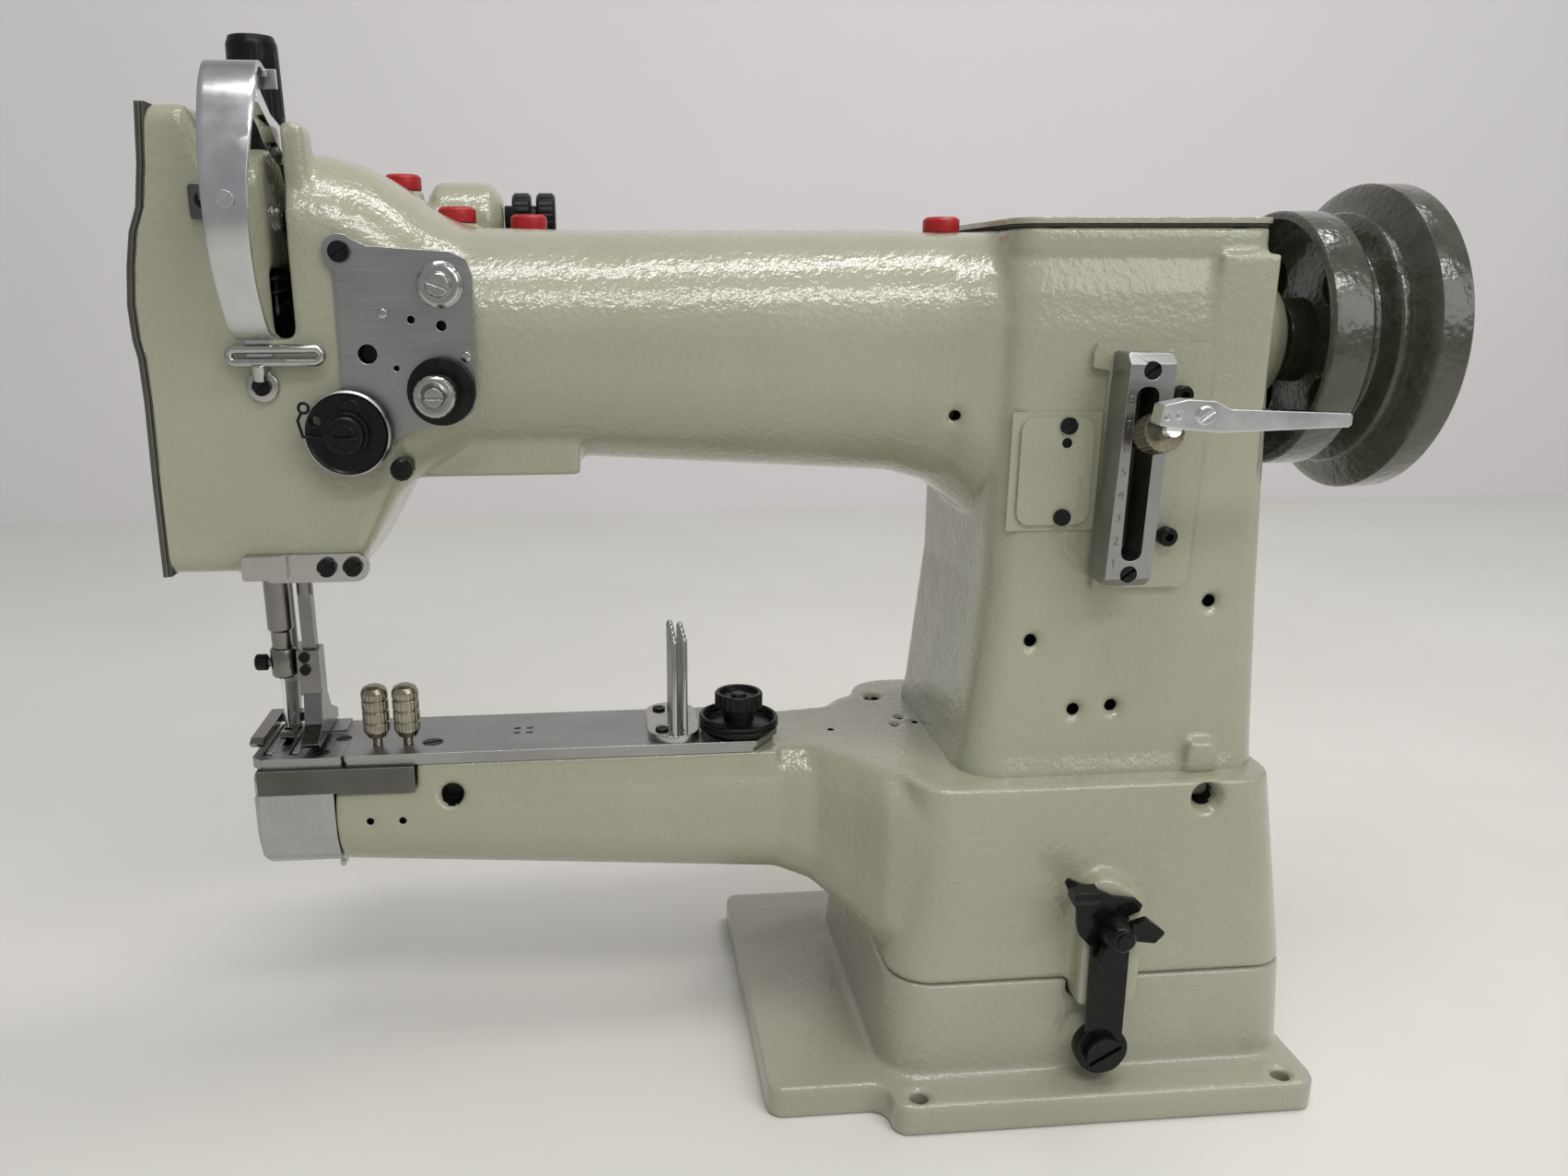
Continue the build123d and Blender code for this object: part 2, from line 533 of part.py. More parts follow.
with BuildPart() as pin_plate:
    with BuildSketch(Plane((needle_x + 151.1, -1.5, bed_top + 1), x_dir=(0, 1, 0), z_dir=(0, 0, 1))) as stadium:
        SlotOverall(40.4, 20.4)
    extrude(amount=3)
    for x, y in pin_places:
        bar_z(1.35, 131, pin_plate_top + 1, x, y, Mode.SUBTRACT)
    for x, y in pin_plate_screws:
        bar_z(1.4, 131, pin_plate_top + 1, x, y, Mode.SUBTRACT)
with BuildPart() as thread_pins:
    for x, y in pin_places:
        turned_z([(0, 137), (1.35, 137), (1.35, 177), (0.8, 178.2), (0, 178.4)], x, y)
keep_together([pin_plate, thread_pins], "pin_plate_with_pins")

bed_tx, bed_ty = bed_tension_place
with BuildPart() as bed_tension_stud:
    turned_z([(0, 133), (2.5, 133), (2.5, 137), (13.2, 137), (13.6, 137.6), (13, 140), (6, 141), (6, 145.6), (3, 145.6),
              (3, 151.8), (2.4, 152.4), (0, 152.4)], bed_tx, bed_ty)
with BuildPart() as bed_tension_spring:
    with BuildLine() as coil:
        Helix(1.95, 5.2, 14.9, center=(bed_tx, bed_ty, 138.2))
    with BuildSketch(Plane(coil.line @ 0, z_dir=coil.line % 0)) as wire:
        Circle(0.9)
    sweep(path=coil.line, is_frenet=True)
keep_together([bed_tension_stud, bed_tension_spring], "bed_tension_stud_and_spring")

with BuildPart() as bed_tension_knob:
    turned_z([(3 + running, 146.2), (8, 146.2), (9.5, 147), (9.5, 152.4), (8.9, 153), (7.8, 152.8), (7.4, 151.2),
              (3 + running, 151.2)], bed_tx, bed_ty)
    knurl(9.9, 24, 0.7, 10, Location((bed_tx, bed_ty, 144)))
keep(bed_tension_knob, "bed_tension_knob")

# ================================================================== front of the head
strap_line = [(-50.4, 293), (-56.5, 294.4), (-65.4, 304.4), (-71.6, 317.4), (-73.6, 332), (-71.8, 346.6),
              (-68, 358), (-60.6, 369.6), (-54, 373.2), (-47.8, 371.8), (-44.8, 368.4)]
with BuildPart() as take_up_guard:
    with BuildSketch(Plane((-299.2, 0, 0), x_dir=(0, 1, 0), z_dir=(1, 0, 0))):
        with BuildLine():
            Spline(*strap_line)
        trace(line_width=1.8)
    extrude(amount=16.4)
    # right edge narrows towards the bottom
    panel_y([(-287.6, 285), (-287.3, 309), (-286.1, 335), (-283.4, 358), (-282.8, 366), (-284.4, 378), (-279, 378),
             (-279, 285)], -80, -40, mode=Mode.SUBTRACT)
    block(-286, -280.6, -47.6, -46, 367, 372.6)
    # foot of the strap, bent onto the head
    block(-299.2, -291, -51, -42, 292, 293.8)
    block(-299.2, -291, -43.6, -42, 285.8, 293.8)
    # side ear with its dome, screwed onto the head
    block(-299.2, -297.6, -72.6, -42, 329, 340)
    turned_x([(-303.6, 0), (-303.6, 1.5), (-302, 4.4), (-300.4, 5.5), (-298.4, 5.7), (-298.4, 0)], -60, 335.5)
    panel_y([(-312, 329), (-298, 329), (-298, 340), (-312, 340)], -43.6, -42, 1.5)
    bar_y(2.0, -45, -41, guard_screw_x, guard_screw_z, Mode.SUBTRACT)
    bar_y(1.3, -76, -71, -292.2, 333.4, Mode.SUBTRACT)
keep(take_up_guard, "take_up_guard")

with BuildPart() as thread_guide:
    panel_y([(-305, 283.5), (-274, 283.5), (-274, 290.5), (-305, 290.5)], -46.6, -44.2, 2)
    panel_y([(-300, 272), (-290, 272), (-290, 284), (-300, 284)], -43.9, -42, 3)
    block(-300, -290, -46, -42, 282, 285.5)
    bar_y(2.0, -47, -41, -295, 277, Mode.SUBTRACT)
    for x in (-302, -278):
        bar_y(1.3, -48, -44, x, 287, Mode.SUBTRACT)
keep(thread_guide, "thread_guide")

plate_holes = [(-245.5, 298.0, 1.3), (-235.8, 296.0, 1.7), (-260.3, 287.1, 3.2), (-251.2, 282.4, 1.0)]
rivet_places = [(-254.5, 299.9), (-228.2, 285.9)]
with BuildPart() as tension_plate:
    panel_y([(-268.4, 313.7), (-262.4, 323.2), (-258, 321.2), (-231.6, 319.4), (-226.6, 317), (-224.8, 311.8),
             (-225.4, 273), (-226.8, 267.6), (-230.2, 265), (-236.6, 263.5), (-249.2, 261.1), (-254, 258.4),
             (-258.5, 261), (-269.4, 274.8), (-269.1, 281.5), (-268.2, 305.5)], -44, -42.4, 0.5)
    bar_y(5.6, -44, -42.4, -266.7, 319.4)
    # raised pad behind it
    panel_y([(-270, 276), (-230, 276), (-230, 315), (-270, 323)], -42.4, -42)
    for x, z in tension_plate_screws:
        bar_y(1.6, -46, -40, x, z, Mode.SUBTRACT)
    for x, z in [main_tension_place, pre_tension_place]:
        bar_y(3.0, -46, -40, x, z, Mode.SUBTRACT)
    for x, z, r in plate_holes:
        bar_y(r, -46, -40, x, z, Mode.SUBTRACT)
    for x, z in rivet_places:
        bar_y(1.2, -46, -40, x, z, Mode.SUBTRACT)
keep(tension_plate, "tension_plate")

with BuildPart() as lower_head_bracket:
    panel_y([(-307.4, 212), (-292.4, 212), (-292.4, 220.5), (-307.4, 220.5)], -47.4, -42, 1)
    panel_y([(-302, 210.6), (-265.4, 210.6), (-265.4, 220.4), (-302, 220.4)], -45.2, -42, 4.6)
    for x, z in bracket_screws:
        bar_y(1.6, -46, -41, x, z, Mode.SUBTRACT)
keep(lower_head_bracket, "lower_head_bracket")

tx, tz = main_tension_place
with BuildPart() as main_tension_post:
    bar_y(3.0, -70, -41.6, tx, tz)
    with Locations((tx, -70, tz)):
        Box(8, 4, 1.1, mode=Mode.SUBTRACT)
    px, pz = pre_tension_place
    turned_y([(-41.6, 0), (-41.6, 3), (-44, 3), (-44, 7.5), (-46, 7.5), (-46.6, 6.6), (-46.6, 5), (-47.4, 5),
              (-47.4, 7), (-49, 7), (-49.6, 6), (-49.6, 4), (-51.6, 4), (-52.2, 3.4), (-52.2, 0)], px, pz)
    with Locations(Location((px, -52.2, pz), (0, 20, 0))):
        Box(9, 2.4, 1.1, mode=Mode.SUBTRACT)
    for x, z in rivet_places:
        turned_y([(-42, 0), (-42, 1.2), (-44, 1.2), (-44, 1.8), (-44.5, 1.6), (-44.8, 0)], x, z)
keep(main_tension_post, "tension_posts")

with BuildPart() as tension_discs:
    for y0, side in [(-44.4, -1), (-49.4, 1)]:
        turned_y([(y0, 3.05), (y0, 8), (y0 + side * 0.6, 11.1), (y0 + side * 1.4, 11.1), (y0 + side * 0.9, 8),
                  (y0 + side * 0.9, 3.05)], tx, tz)
with BuildPart() as tension_spring:
    with BuildLine() as coil:
        Helix(2.6, 10.4, 5.2, center=(tx, -50.6, tz), direction=(0, -1, 0))
    with BuildSketch(Plane(coil.line @ 0, z_dir=coil.line % 0)) as wire:
        Circle(0.6)
    sweep(path=coil.line, is_frenet=True)
keep_together([tension_discs, tension_spring], "tension_discs_and_spring")

with BuildPart() as tension_nut:
    turned_y([(-61.6, 3 + running), (-61.6, 6), (-62.4, 6.6), (-67.4, 6.6), (-68.2, 5.8), (-68.2, 4.6),
              (-67, 3 + running)], tx, tz)
    knurl(6.9, 20, 0.5, 12, Location((tx, -60, tz), TO_FRONT))
keep(tension_nut, "tension_nut")

cx, cz = check_place
with BuildPart() as check_spring_disc:
    turned_y([(-44.4, 0), (-44.4, 13.6), (-45.2, 14.2), (-50, 14.2), (-50.8, 13.5), (-50.2, 12.4), (-50.2, 6.2),
              (-55.6, 6.2), (-56.2, 5.6), (-56.2, 3.6), (-57, 3.4), (-57, 0)], cx, cz)
    bar_y(3, -44.5, -42, cx, cz)
    bar_y(2.4, -51, -50, cx + 2.1, cz + 8.6)
    bar_y(1.8, -52, -43, cx - 10, cz + 4, Mode.SUBTRACT)
    with Locations(Location((cx, -57, cz), (90, 0, 0))):
        Box(8, 1.4, 3, mode=Mode.SUBTRACT)
keep(check_spring_disc, "check_spring_disc")

with BuildPart() as check_spring:
    turned_y([(-53.4, 6.3), (-53.4, 7.3), (-51.3, 7.3), (-51.3, 6.3)], cx, cz)
    with BuildLine() as wire_line:
        Polyline((cx - 6.6, -52.4, cz - 1.4), (cx - 13.8, -52.4, cz - 0.4), (cx - 15, -52.4, cz + 4.8),
                 (cx - 13.6, -52.4, cz + 7.4))
    with BuildSketch(Plane(wire_line.line @ 0, z_dir=wire_line.line % 0)):
        Circle(0.5)
    sweep(path=wire_line.line, transition=Transition.RIGHT)
    with Locations(Location((cx - 12.8, -52.4, cz + 8.8), (90, 0, 0))):
        Torus(1.6, 0.5)
keep(check_spring, "check_spring")

with BuildPart() as head_thumbscrew:
    ux, uz = thumbscrew_place
    turned_y([(-36, 0), (-36, 2.2 - running), (-42.2, 2.2 - running), (-42.2, 3), (-46, 3), (-47, 3.7),
              (-53.6, 3.7), (-54.4, 2.8), (-54.4, 0)], ux, uz)
    knurl(4.0, 14, 0.5, 10, Location((ux, -46.5, uz), TO_FRONT))
keep(head_thumbscrew, "head_thumbscrew")

# ================================================================== back of the head and arm
with BuildPart() as rear_lift_rod:
    bar_x(4.5, -218, -206, 30, 333)
    for x in (-215, -206):
        turned_x([(x, 0), (x, 8), (x + 1, 9), (x + 6, 9), (x + 7, 8), (x + 7, 0)], 30, 333)
        knurl(9.4, 22, 0.7, 7, Location((x, 30, 333), TO_RIGHT))
keep(rear_lift_rod, "rear_lift_rod")

with BuildPart() as presser_lift_lever:
    bar_y(4, 33, 47, lift_x, lift_z)
    bar_y(9, 42 + gap, 50, lift_x, lift_z)
    panel_y([(lift_x, lift_z - 7), (lift_x + 48, lift_z + 5), (lift_x + 48, lift_z + 13), (lift_x, lift_z + 7)], 44, 49)
    bar_y(5.5, 43, 54, lift_x + 50, lift_z + 9)
keep(presser_lift_lever, "presser_lift_lever")

# ================================================================== drive
handwheel_profile = [(76, 7.5), (76, 15), (86, 16), (88, 43.5), (72.3, 44.5), (72.3, 46.6), (73.2, 47.4), (86.6, 47.4),
                     (87.8, 46.6), (92, 39), (95, 39), (97.6, 46.4), (98.4, 47), (100.6, 47), (101.2, 46.4),
                     (104.6, 56), (105.6, 57.1), (116.5, 57.1), (117.6, 56), (118.2, 50), (114, 43), (110, 26),
                     (111, 18), (120, 16.5), (121, 14.5), (121, 7.5)]
with BuildPart() as handwheel:
    turned_x(handwheel_profile, 0, shaft_z)
    # openings between the spokes of the web
    with Locations(Location((84, 0, shaft_z), TO_RIGHT)):
        with PolarLocations(30, 4, 45):
            Cylinder(8.5, 14, align=AXIAL, mode=Mode.SUBTRACT)
keep(handwheel, "handwheel")

with BuildPart() as main_shaft:
    bar_x(shaft_r, -266, 121, 0, shaft_z)
    # slotted cap on the handwheel end
    turned_x([(121, 0), (121, 11), (123.2, 11), (124.4, 9.6), (124.4, 0)], 0, shaft_z)
    with Locations((124.4, 0, shaft_z)):
        Box(2.4, 26, 2.2, mode=Mode.SUBTRACT)
keep(main_shaft, "main_shaft")

with BuildPart() as needle_crank:
    turned_x([(-276, 0), (-276, 22), (-275, 23), (-267, 23), (-266, 22), (-266, 0)], 0, shaft_z)
    # the counterweight side keeps its full radius
    with Locations((-271, -16, shaft_z + 20), (-271, -16, shaft_z - 20)):
        Box(12, 20, 12, mode=Mode.SUBTRACT)
    bar_x(4, -283, -275, -crank_r, shaft_z)
keep(needle_crank, "needle_crank")

with BuildPart() as crank_link:
    bar_x(7.5, -282.6, -276.4, -crank_r, shaft_z)
    bar_x(6.5, -282.6, -276.4, -10, 242)
    panel_x([(-20, 284), (-13, 246), (-7, 246), (-12, 284)], -282, -277)
    bar_x(4 + running, -284, -276, -crank_r, shaft_z, Mode.SUBTRACT)
    bar_x(3 + running, -284, -276, -10, 242, Mode.SUBTRACT)
keep(crank_link, "crank_link")


def toothed_pulley(x0, x1, y, z):
    bar_x(sprocket_r, x0, x1, y, z)
    with Locations(Location((x0 - 1, y, z), TO_RIGHT)):
        with PolarLocations(sprocket_r + 0.4, 24):
            Cylinder(1.3, x1 - x0 + 2, align=AXIAL, mode=Mode.SUBTRACT)


with BuildPart() as upper_sprocket:
    toothed_pulley(belt_x0, belt_x1, 0, shaft_z)
    bar_x(13, belt_x0 - 7, belt_x0, 0, shaft_z)
    bar_x(shaft_r, belt_x0 - 8, belt_x1 + 1, 0, shaft_z, Mode.SUBTRACT)
keep(upper_sprocket, "upper_sprocket")

with BuildPart() as lower_sprocket:
    toothed_pulley(belt_x0, belt_x1, 0, lower_z)
    bar_x(12, belt_x0 - 7, belt_x0, 0, lower_z)
    bar_x(small_shaft_r, belt_x0 - 8, belt_x1 + 1, 0, lower_z, Mode.SUBTRACT)
keep(lower_sprocket, "lower_sprocket")

with BuildPart() as timing_belt:
    for radius, mode in [(sprocket_r + 2.4, Mode.ADD), (sprocket_r + running, Mode.SUBTRACT)]:
        bar_x(radius, belt_x0 + 1, belt_x1 - 1, 0, shaft_z, mode)
        bar_x(radius, belt_x0 + 1, belt_x1 - 1, 0, lower_z, mode)
        block(belt_x0 + 1, belt_x1 - 1, -radius, radius, lower_z, shaft_z, mode)
keep(timing_belt, "timing_belt")


def gear(teeth, x0, x1, z, turn):
    """Involute spur gear about a line along X; turn places a tooth centre, in radians from +Y."""
    pressure = radians(20)
    pitch_r = teeth * gear_module / 2
    base_r = pitch_r * cos(pressure)
    root_r = pitch_r - 1.25 * gear_module
    tip_r = pitch_r + gear_module
    backlash = 0.3
    half = pi / (2 * teeth) - backlash / (2 * pitch_r) + tan(pressure) - pressure
    low_r = max(base_r, root_r) + 0.01
    flank = []
    for step in range(5):
        r = low_r + (tip_r - low_r) * step / 4
        roll = acos(min(1.0, base_r / r))
        flank.append((r, half - tan(roll) + roll))
    flank = [(root_r, flank[0][1])] + flank
    points = []
    for tooth in range(teeth):
        centre = turn + 2 * pi * tooth / teeth
        for r, angle in flank:
            points.append((r * cos(centre - angle), z + r * sin(centre - angle)))
        for r, angle in reversed(flank):
            points.append((r * cos(centre + angle), z + r * sin(centre + angle)))
    panel_x(points, x0, x1)


with BuildPart() as lower_shaft:
    bar_x(small_shaft_r, -58, 66, 0, lower_z)
    gear(gear_teeth, gear_x0, gear_x1, lower_z, pi / 2)
keep(lower_shaft, "lower_shaft")

with BuildPart() as rotary_hook:
    gear(pinion_teeth, gear_x0, gear_x1, hook_z, pi / 2 + pi / pinion_teeth)
    bar_x(small_shaft_r, -297, -18, 0, hook_z)
    turned_x([(-308.2, 14.6), (-308.2, 17), (-296, 17), (-293.5, 14), (-293.5, 0), (-297, 0), (-297, 13.4), (-303, 14.6)], 0, hook_z)
    # gap in the rim, whose edge is the hook point
    block(-309, -301, -8, 8, hook_z + 12, hook_z + 18, Mode.SUBTRACT)
keep(rotary_hook, "rotary_hook")

with BuildPart() as bobbin_case:
    turned_x([(-312.8, 2.6), (-312.8, 12.2), (-311.4, 13.2), (-298, 13.2), (-298, 12.2), (-311, 12.2),
              (-311, 2.6)], 0, hook_z)
    block(-314, -300, -3.2, 3.2, hook_z + 8, hook_z + 15, Mode.SUBTRACT)
keep(bobbin_case, "bobbin_case")

with BuildPart() as bobbin:
    turned_x([(-310.8, 2.2), (-310.8, 11.6), (-309.8, 11.6), (-309.8, 4), (-299.6, 4), (-299.6, 11.6),
              (-298.6, 11.6), (-298.6, 2.2)], 0, hook_z)
keep(bobbin, "bobbin")

with BuildPart() as hook_cover:
    panel_x([(-20.4, 121.6), (-20.4, 104), (-17, 93.5), (-9, 88), (9, 88), (17, 93.5), (20.4, 104), (20.4, 121.6)],
            -320.6, -290.4)
    fillet(hook_cover.edges().filter_by(Axis.X).sort_by(Axis.Z)[:4], 6)
    fillet(hook_cover.faces().sort_by(Axis.X)[0].edges(), 2.5)
    bar_x(18, -318.6, -289, 0, hook_z, Mode.SUBTRACT)
    block(-318.6, -289, -18, 18, hook_z, 123, Mode.SUBTRACT)
    panel_x([(-17, 119), (17, 119), (17, 128.6), (-17, 128.6)], -320.4, -318.5, 3)
    # hinge pin under its right edge
    block(-293, -290.6, -8, 8, 86, 89.5)
    bar_y(1.2, -8.6, 8.6, -291.8, 86)
keep(hook_cover, "hook_cover")

with BuildPart() as feed_bar:
    block(-289.6, -190, 8.4, 15.4, 112.6, 118.6)
    block(-289.6, -284, 8.4, 15.4, 112.6, 124)
keep(feed_bar, "feed_bar")

with BuildPart() as feed_dog:
    block(-316.4, -283, 8.4, 14.6, 126.6, 130.5)
    for x0, x1 in rail_rows:
        block(x0, x1, -12, 14.6, 126.6, 135.2)
        for row in range(9):
            block(x0, x1, -11.6 + 2.9 * row, -10.2 + 2.9 * row, 135, 135.8)
keep(feed_dog, "feed_dog")

with BuildPart() as shaft_bushes:
    for x0, x1 in [(-262.5, -240), (42, 72)]:
        turned_x([(x0, shaft_r + running), (x0, 11), (x1, 11), (x1, shaft_r + running)], 0, shaft_z)
    for x0, x1 in [(web_x0, web_x1), (56, 68)]:
        turned_x([(x0, small_shaft_r + running), (x0, 8), (x1, 8), (x1, small_shaft_r + running)], 0, lower_z)
    turned_x([(-284, small_shaft_r + running), (-284, 12), (-262, 12), (-262, small_shaft_r + running)], 0, hook_z)
    block(-285, -261, 4, 19, 110, 123, Mode.SUBTRACT)
    for z0, z1 in [(207, 216), (266, 276)]:
        turned_z([(3 + running, z0), (4.6, z0), (4.6, z1), (3 + running, z1)], presser_x, 0)
    # headed pin that the needle-bar frame hangs on
    bar_x(4, -321.8, -304.5, 0, 340)
    bar_x(6, -321.8, -320.6, 0, 340)
keep(shaft_bushes, "shaft_bushes_and_pin")

# ================================================================== needle and presser bars
with BuildPart() as needle_bar_frame:
    block(-320.4, -315.4, -7, 18, 206, 348)
    block(-316, -303.4, -7, 18, 206, 218)
    block(-316, -303.4, -7, 18, 296, 308)
    bar_x(4 + running, -322, -315, 0, 340, Mode.SUBTRACT)
    bar_z(needle_bar_r + running, 205, 309, bar_axis_x, 0, Mode.SUBTRACT)
    bar_z(3 + running, 205, 309, bar_axis_x, 12, Mode.SUBTRACT)
keep(needle_bar_frame, "needle_bar_frame")

with BuildPart() as needle_bar:
    turned_z([(0, 166), (3.8, 166), (3.8, 181), (needle_bar_r, 182.2), (needle_bar_r, 318), (0, 318)],
             bar_axis_x, 0)
    # stud block for the connecting link
    block(-315, -302.8, -14, 6.4, 237, 247)
    bar_x(3, -304, -283.2, -10, 242)
keep(needle_bar, "needle_bar")

with BuildPart() as needle_clamp:
    turned_z([(0, 163), (4.2, 163), (4.8, 163.8), (4.8, 173.6), (4.4, 174.4), (3.8, 174.4), (3.8, 166), (0, 166)],
             bar_axis_x, 0)
    bar_z(1.0, 162, 167, needle_x, 0, Mode.SUBTRACT)
    # thumbscrew on its left
    turned_x([(-319.6, 0), (-319.6, 2.6), (-319, 3.2), (-315.4, 3.2), (-314.8, 2.4), (-314.8, 1.8), (-313, 1.8),
              (-313, 0)], 0, 168.6)
    knurl(3.5, 12, 0.45, 3.6, Location((-319.2, 0, 168.6), TO_RIGHT))
keep(needle_clamp, "needle_clamp")

with BuildPart() as needle:
    turned_z([(0, 137), (0.35, 139), (0.95, 144), (0.95, 157), (1.0, 158), (1.0, 166), (0, 166)], needle_x, 0)
keep(needle, "needle")

with BuildPart() as inner_foot:
    block(-312.6, -305.4, 7.6, 16, 158, 172)
    panel_x([(8, 160), (15, 160), (9, 144), (7.6, 138.2), (-4.6, 138.2), (-6, 139.6), (-4, 141), (4.6, 141),
             (6, 146)], -312.2, -306.6)
    bar_z(3, 165, 322, bar_axis_x, 12)
    bar_z(1.7, 137, 142, needle_x, 0, Mode.SUBTRACT)
keep(inner_foot, "inner_foot")

with BuildPart() as presser_bar:
    block(presser_x - 2.5, presser_x + 2.5, -2.5, 2.5, 162, 196)
    bar_z(3, 195, 328, presser_x, 0)
    bar_z(4.6, 298, 302, presser_x, 0)
keep(presser_bar, "presser_bar")

with BuildPart() as presser_spring:
    with BuildLine() as coil:
        Helix(4.8, 37, 3.9, center=(presser_x, 0, 302.8))
    with BuildSketch(Plane(coil.line @ 0, z_dir=coil.line % 0)):
        Circle(0.7)
    sweep(path=coil.line, is_frenet=True)
keep(presser_spring, "presser_spring")

with BuildPart() as outer_foot:
    block(-303, -294.6, -4.6, 4.6, 156, 174)
    block(presser_x - 2.5, presser_x + 2.5, -2.5, 2.5, 162, 175, Mode.SUBTRACT)
    panel_x([(-4.6, 157), (4.6, 157), (10, 147), (21, 142), (21, 138.2), (-15, 138.2), (-17.5, 140.4), (-14, 141.8),
             (-7, 145)], -301.8, -295)
    panel_x([(21, 138.2), (21, 142), (-11, 141.8), (-14.5, 140.4), (-12, 138.2)], -321.4, -316.4)
    block(-318, -300, 15.6, 21, 138.2, 142)
    for z in (166.5, 171.5):
        cheese_screw((-300, -4.6, z), TO_FRONT, 2.1, 1.4, 1.2, 0.4)
keep(outer_foot, "outer_foot")

with BuildPart() as pressure_knob:
    turned_z([(0, 342.4), (5, 342.4), (5, 352.9), (8.6, 352.9), (9, 353.5), (8.4, 387), (7.4, 389.6), (2.4, 389.6),
              (2.4, 384), (0, 384)], presser_x, 0)
    knurl(9.2, 24, 0.8, 22, Location((presser_x, 0, 364)))
keep(pressure_knob, "pressure_knob")

with BuildPart() as take_up_lever:
    bar_x(6, take_up_x - 2.5, take_up_x + 2.5, take_up_y, take_up_z)
    bar_x(3, take_up_x - 9, take_up_x + 9, take_up_y, take_up_z)
    panel_x([(-12, 333), (-4, 333), (-6, 346), (-13, 353.4), (-30, 358.8), (-40, 360.6), (-49, 365.4), (-55, 369),
             (-57, 363.4), (-48, 359.6), (-42, 357), (-36, 352.8), (-28, 349.6), (-17, 347), (-13, 342)],
            take_up_x - 2, take_up_x + 2)
    bar_x(4, take_up_x - 2, take_up_x + 2, -56.4, 366)
    bar_x(2.3, take_up_x - 3, take_up_x + 3, -56.4, 366, Mode.SUBTRACT)
keep(take_up_lever, "take_up_lever")

# ================================================================== stitch regulator
lever_plane = Plane((-2.5, regulator_y, regulator_z), x_dir=(0, -cos(radians(13)), sin(radians(13))),
                    z_dir=(1, 0, 0))

with BuildPart() as stitch_lever:
    with Locations(lever_plane):
        with Locations(Location((4, 0, 0), (0, 90, 0))):
            Cylinder(2.6, 76, align=AXIAL)
    bar_x(7, -5.2, 0.2, regulator_y, regulator_z)
    bar_x(small_shaft_r, -41, 6, regulator_y, regulator_z)
    # chrome handle across the end of the shank
    panel_y([(-9, 265.5), (-1, 264.2), (12, 263), (54, 264.2), (55, 265), (55, 267.8), (54, 268.6), (14, 270.4),
             (9, 273), (0, 273.6), (-8, 272)], -91, -84, 0.7)
    for x, z in [(-6.6, 268.4), (-2.8, 268.8)]:
        bar_y(1.1, -92, -89, x, z, Mode.SUBTRACT)
    cheese_screw((5.8, -91, 268.6), TO_FRONT, 2.8, 1.4, 1.6, 2)
keep(stitch_lever, "stitch_lever")

with BuildPart() as stitch_lock_nut:
    with Locations(lever_plane):
        with Locations(Location((64.6, 0, 0), (0, 90, 0))):
            Cylinder(6.8, 9, align=AXIAL)
            Cylinder(2.6 + running, 20, mode=Mode.SUBTRACT)
            with PolarLocations(7.2, 22):
                Cylinder(0.7, 20, mode=Mode.SUBTRACT)
keep(stitch_lock_nut, "stitch_lock_nut")

# ================================================================== latch
with BuildPart() as latch_arm:
    bar_y(10, -77.2, -72, latch_x, latch_z)
    panel_y([(-7.4, latch_z), (6.6, latch_z), (6.1, 70), (6.8, 79), (3.8, 85.2), (-8, 85.2), (-8.4, 70)], -77.2, -75.3)
    bar_y(3 + running, -78, -71, latch_x, latch_z, Mode.SUBTRACT)
    # finger plate at the top, with a bent lip
    panel_y([(-9, 72.3), (-13.7, 77.2), (-14.8, 81.3), (-15.3, 87.1), (-20.5, 98.6), (-19.3, 100.4), (-7.8, 95.3),
             (-1.7, 92.4), (7, 90.9), (9.3, 88.6), (8.5, 86.1), (3.8, 84)], -77.2, -75.3, 0.8)
    panel_x([(-77, 94), (-83.5, 93), (-84.5, 95.5), (-83.5, 98), (-77, 98.5)], -19.5, -10, 0.5)
    # the slot is open towards the right, so the arm swings off the stud
    block(latch_x - 3.1, 14, -79, -74, latch_stud_z - 3.1, latch_stud_z + 3.1, Mode.SUBTRACT)
keep(latch_arm, "latch_arm")

with BuildPart() as latch_pivot_screw:
    bar_y(3, -77.4, -58, latch_x, latch_z)
    with Locations(Location((latch_x, -77.4, latch_z), TO_FRONT)):
        Cylinder(7, 3.4, align=AXIAL)
        with Locations(Location((0, 0, 3.4), (0, 0, 31))):
            Box(16, 1.8, 3.2, mode=Mode.SUBTRACT)
    bar_y(2.5, -87, -66, latch_x, latch_stud_z)
keep(latch_pivot_screw, "latch_screw_and_stud")

with BuildPart() as wing_nut:
    turned_y([(-77.5, 2.5 + running), (-77.5, 6), (-79, 6.4), (-85.6, 5), (-86.4, 4), (-86.4, 2.5 + running)],
             latch_x, latch_stud_z)
    panel_y([(2.4, 84.4), (8.8, 86.3), (15.6, 81), (12, 76.8), (4.6, 78)], -84.4, -80.8, 1.2)
    panel_y([(-5.6, 77), (-8.6, 69), (-6, 65.5), (-2, 66), (1, 74.6)], -84.4, -80.8, 1.2)
keep(wing_nut, "wing_nut")
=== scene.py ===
"""Looks of the leather sewing machine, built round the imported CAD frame. Everything is in metres."""

import json
import math

import bmesh
import bpy
from mathutils import Matrix, Vector, noise


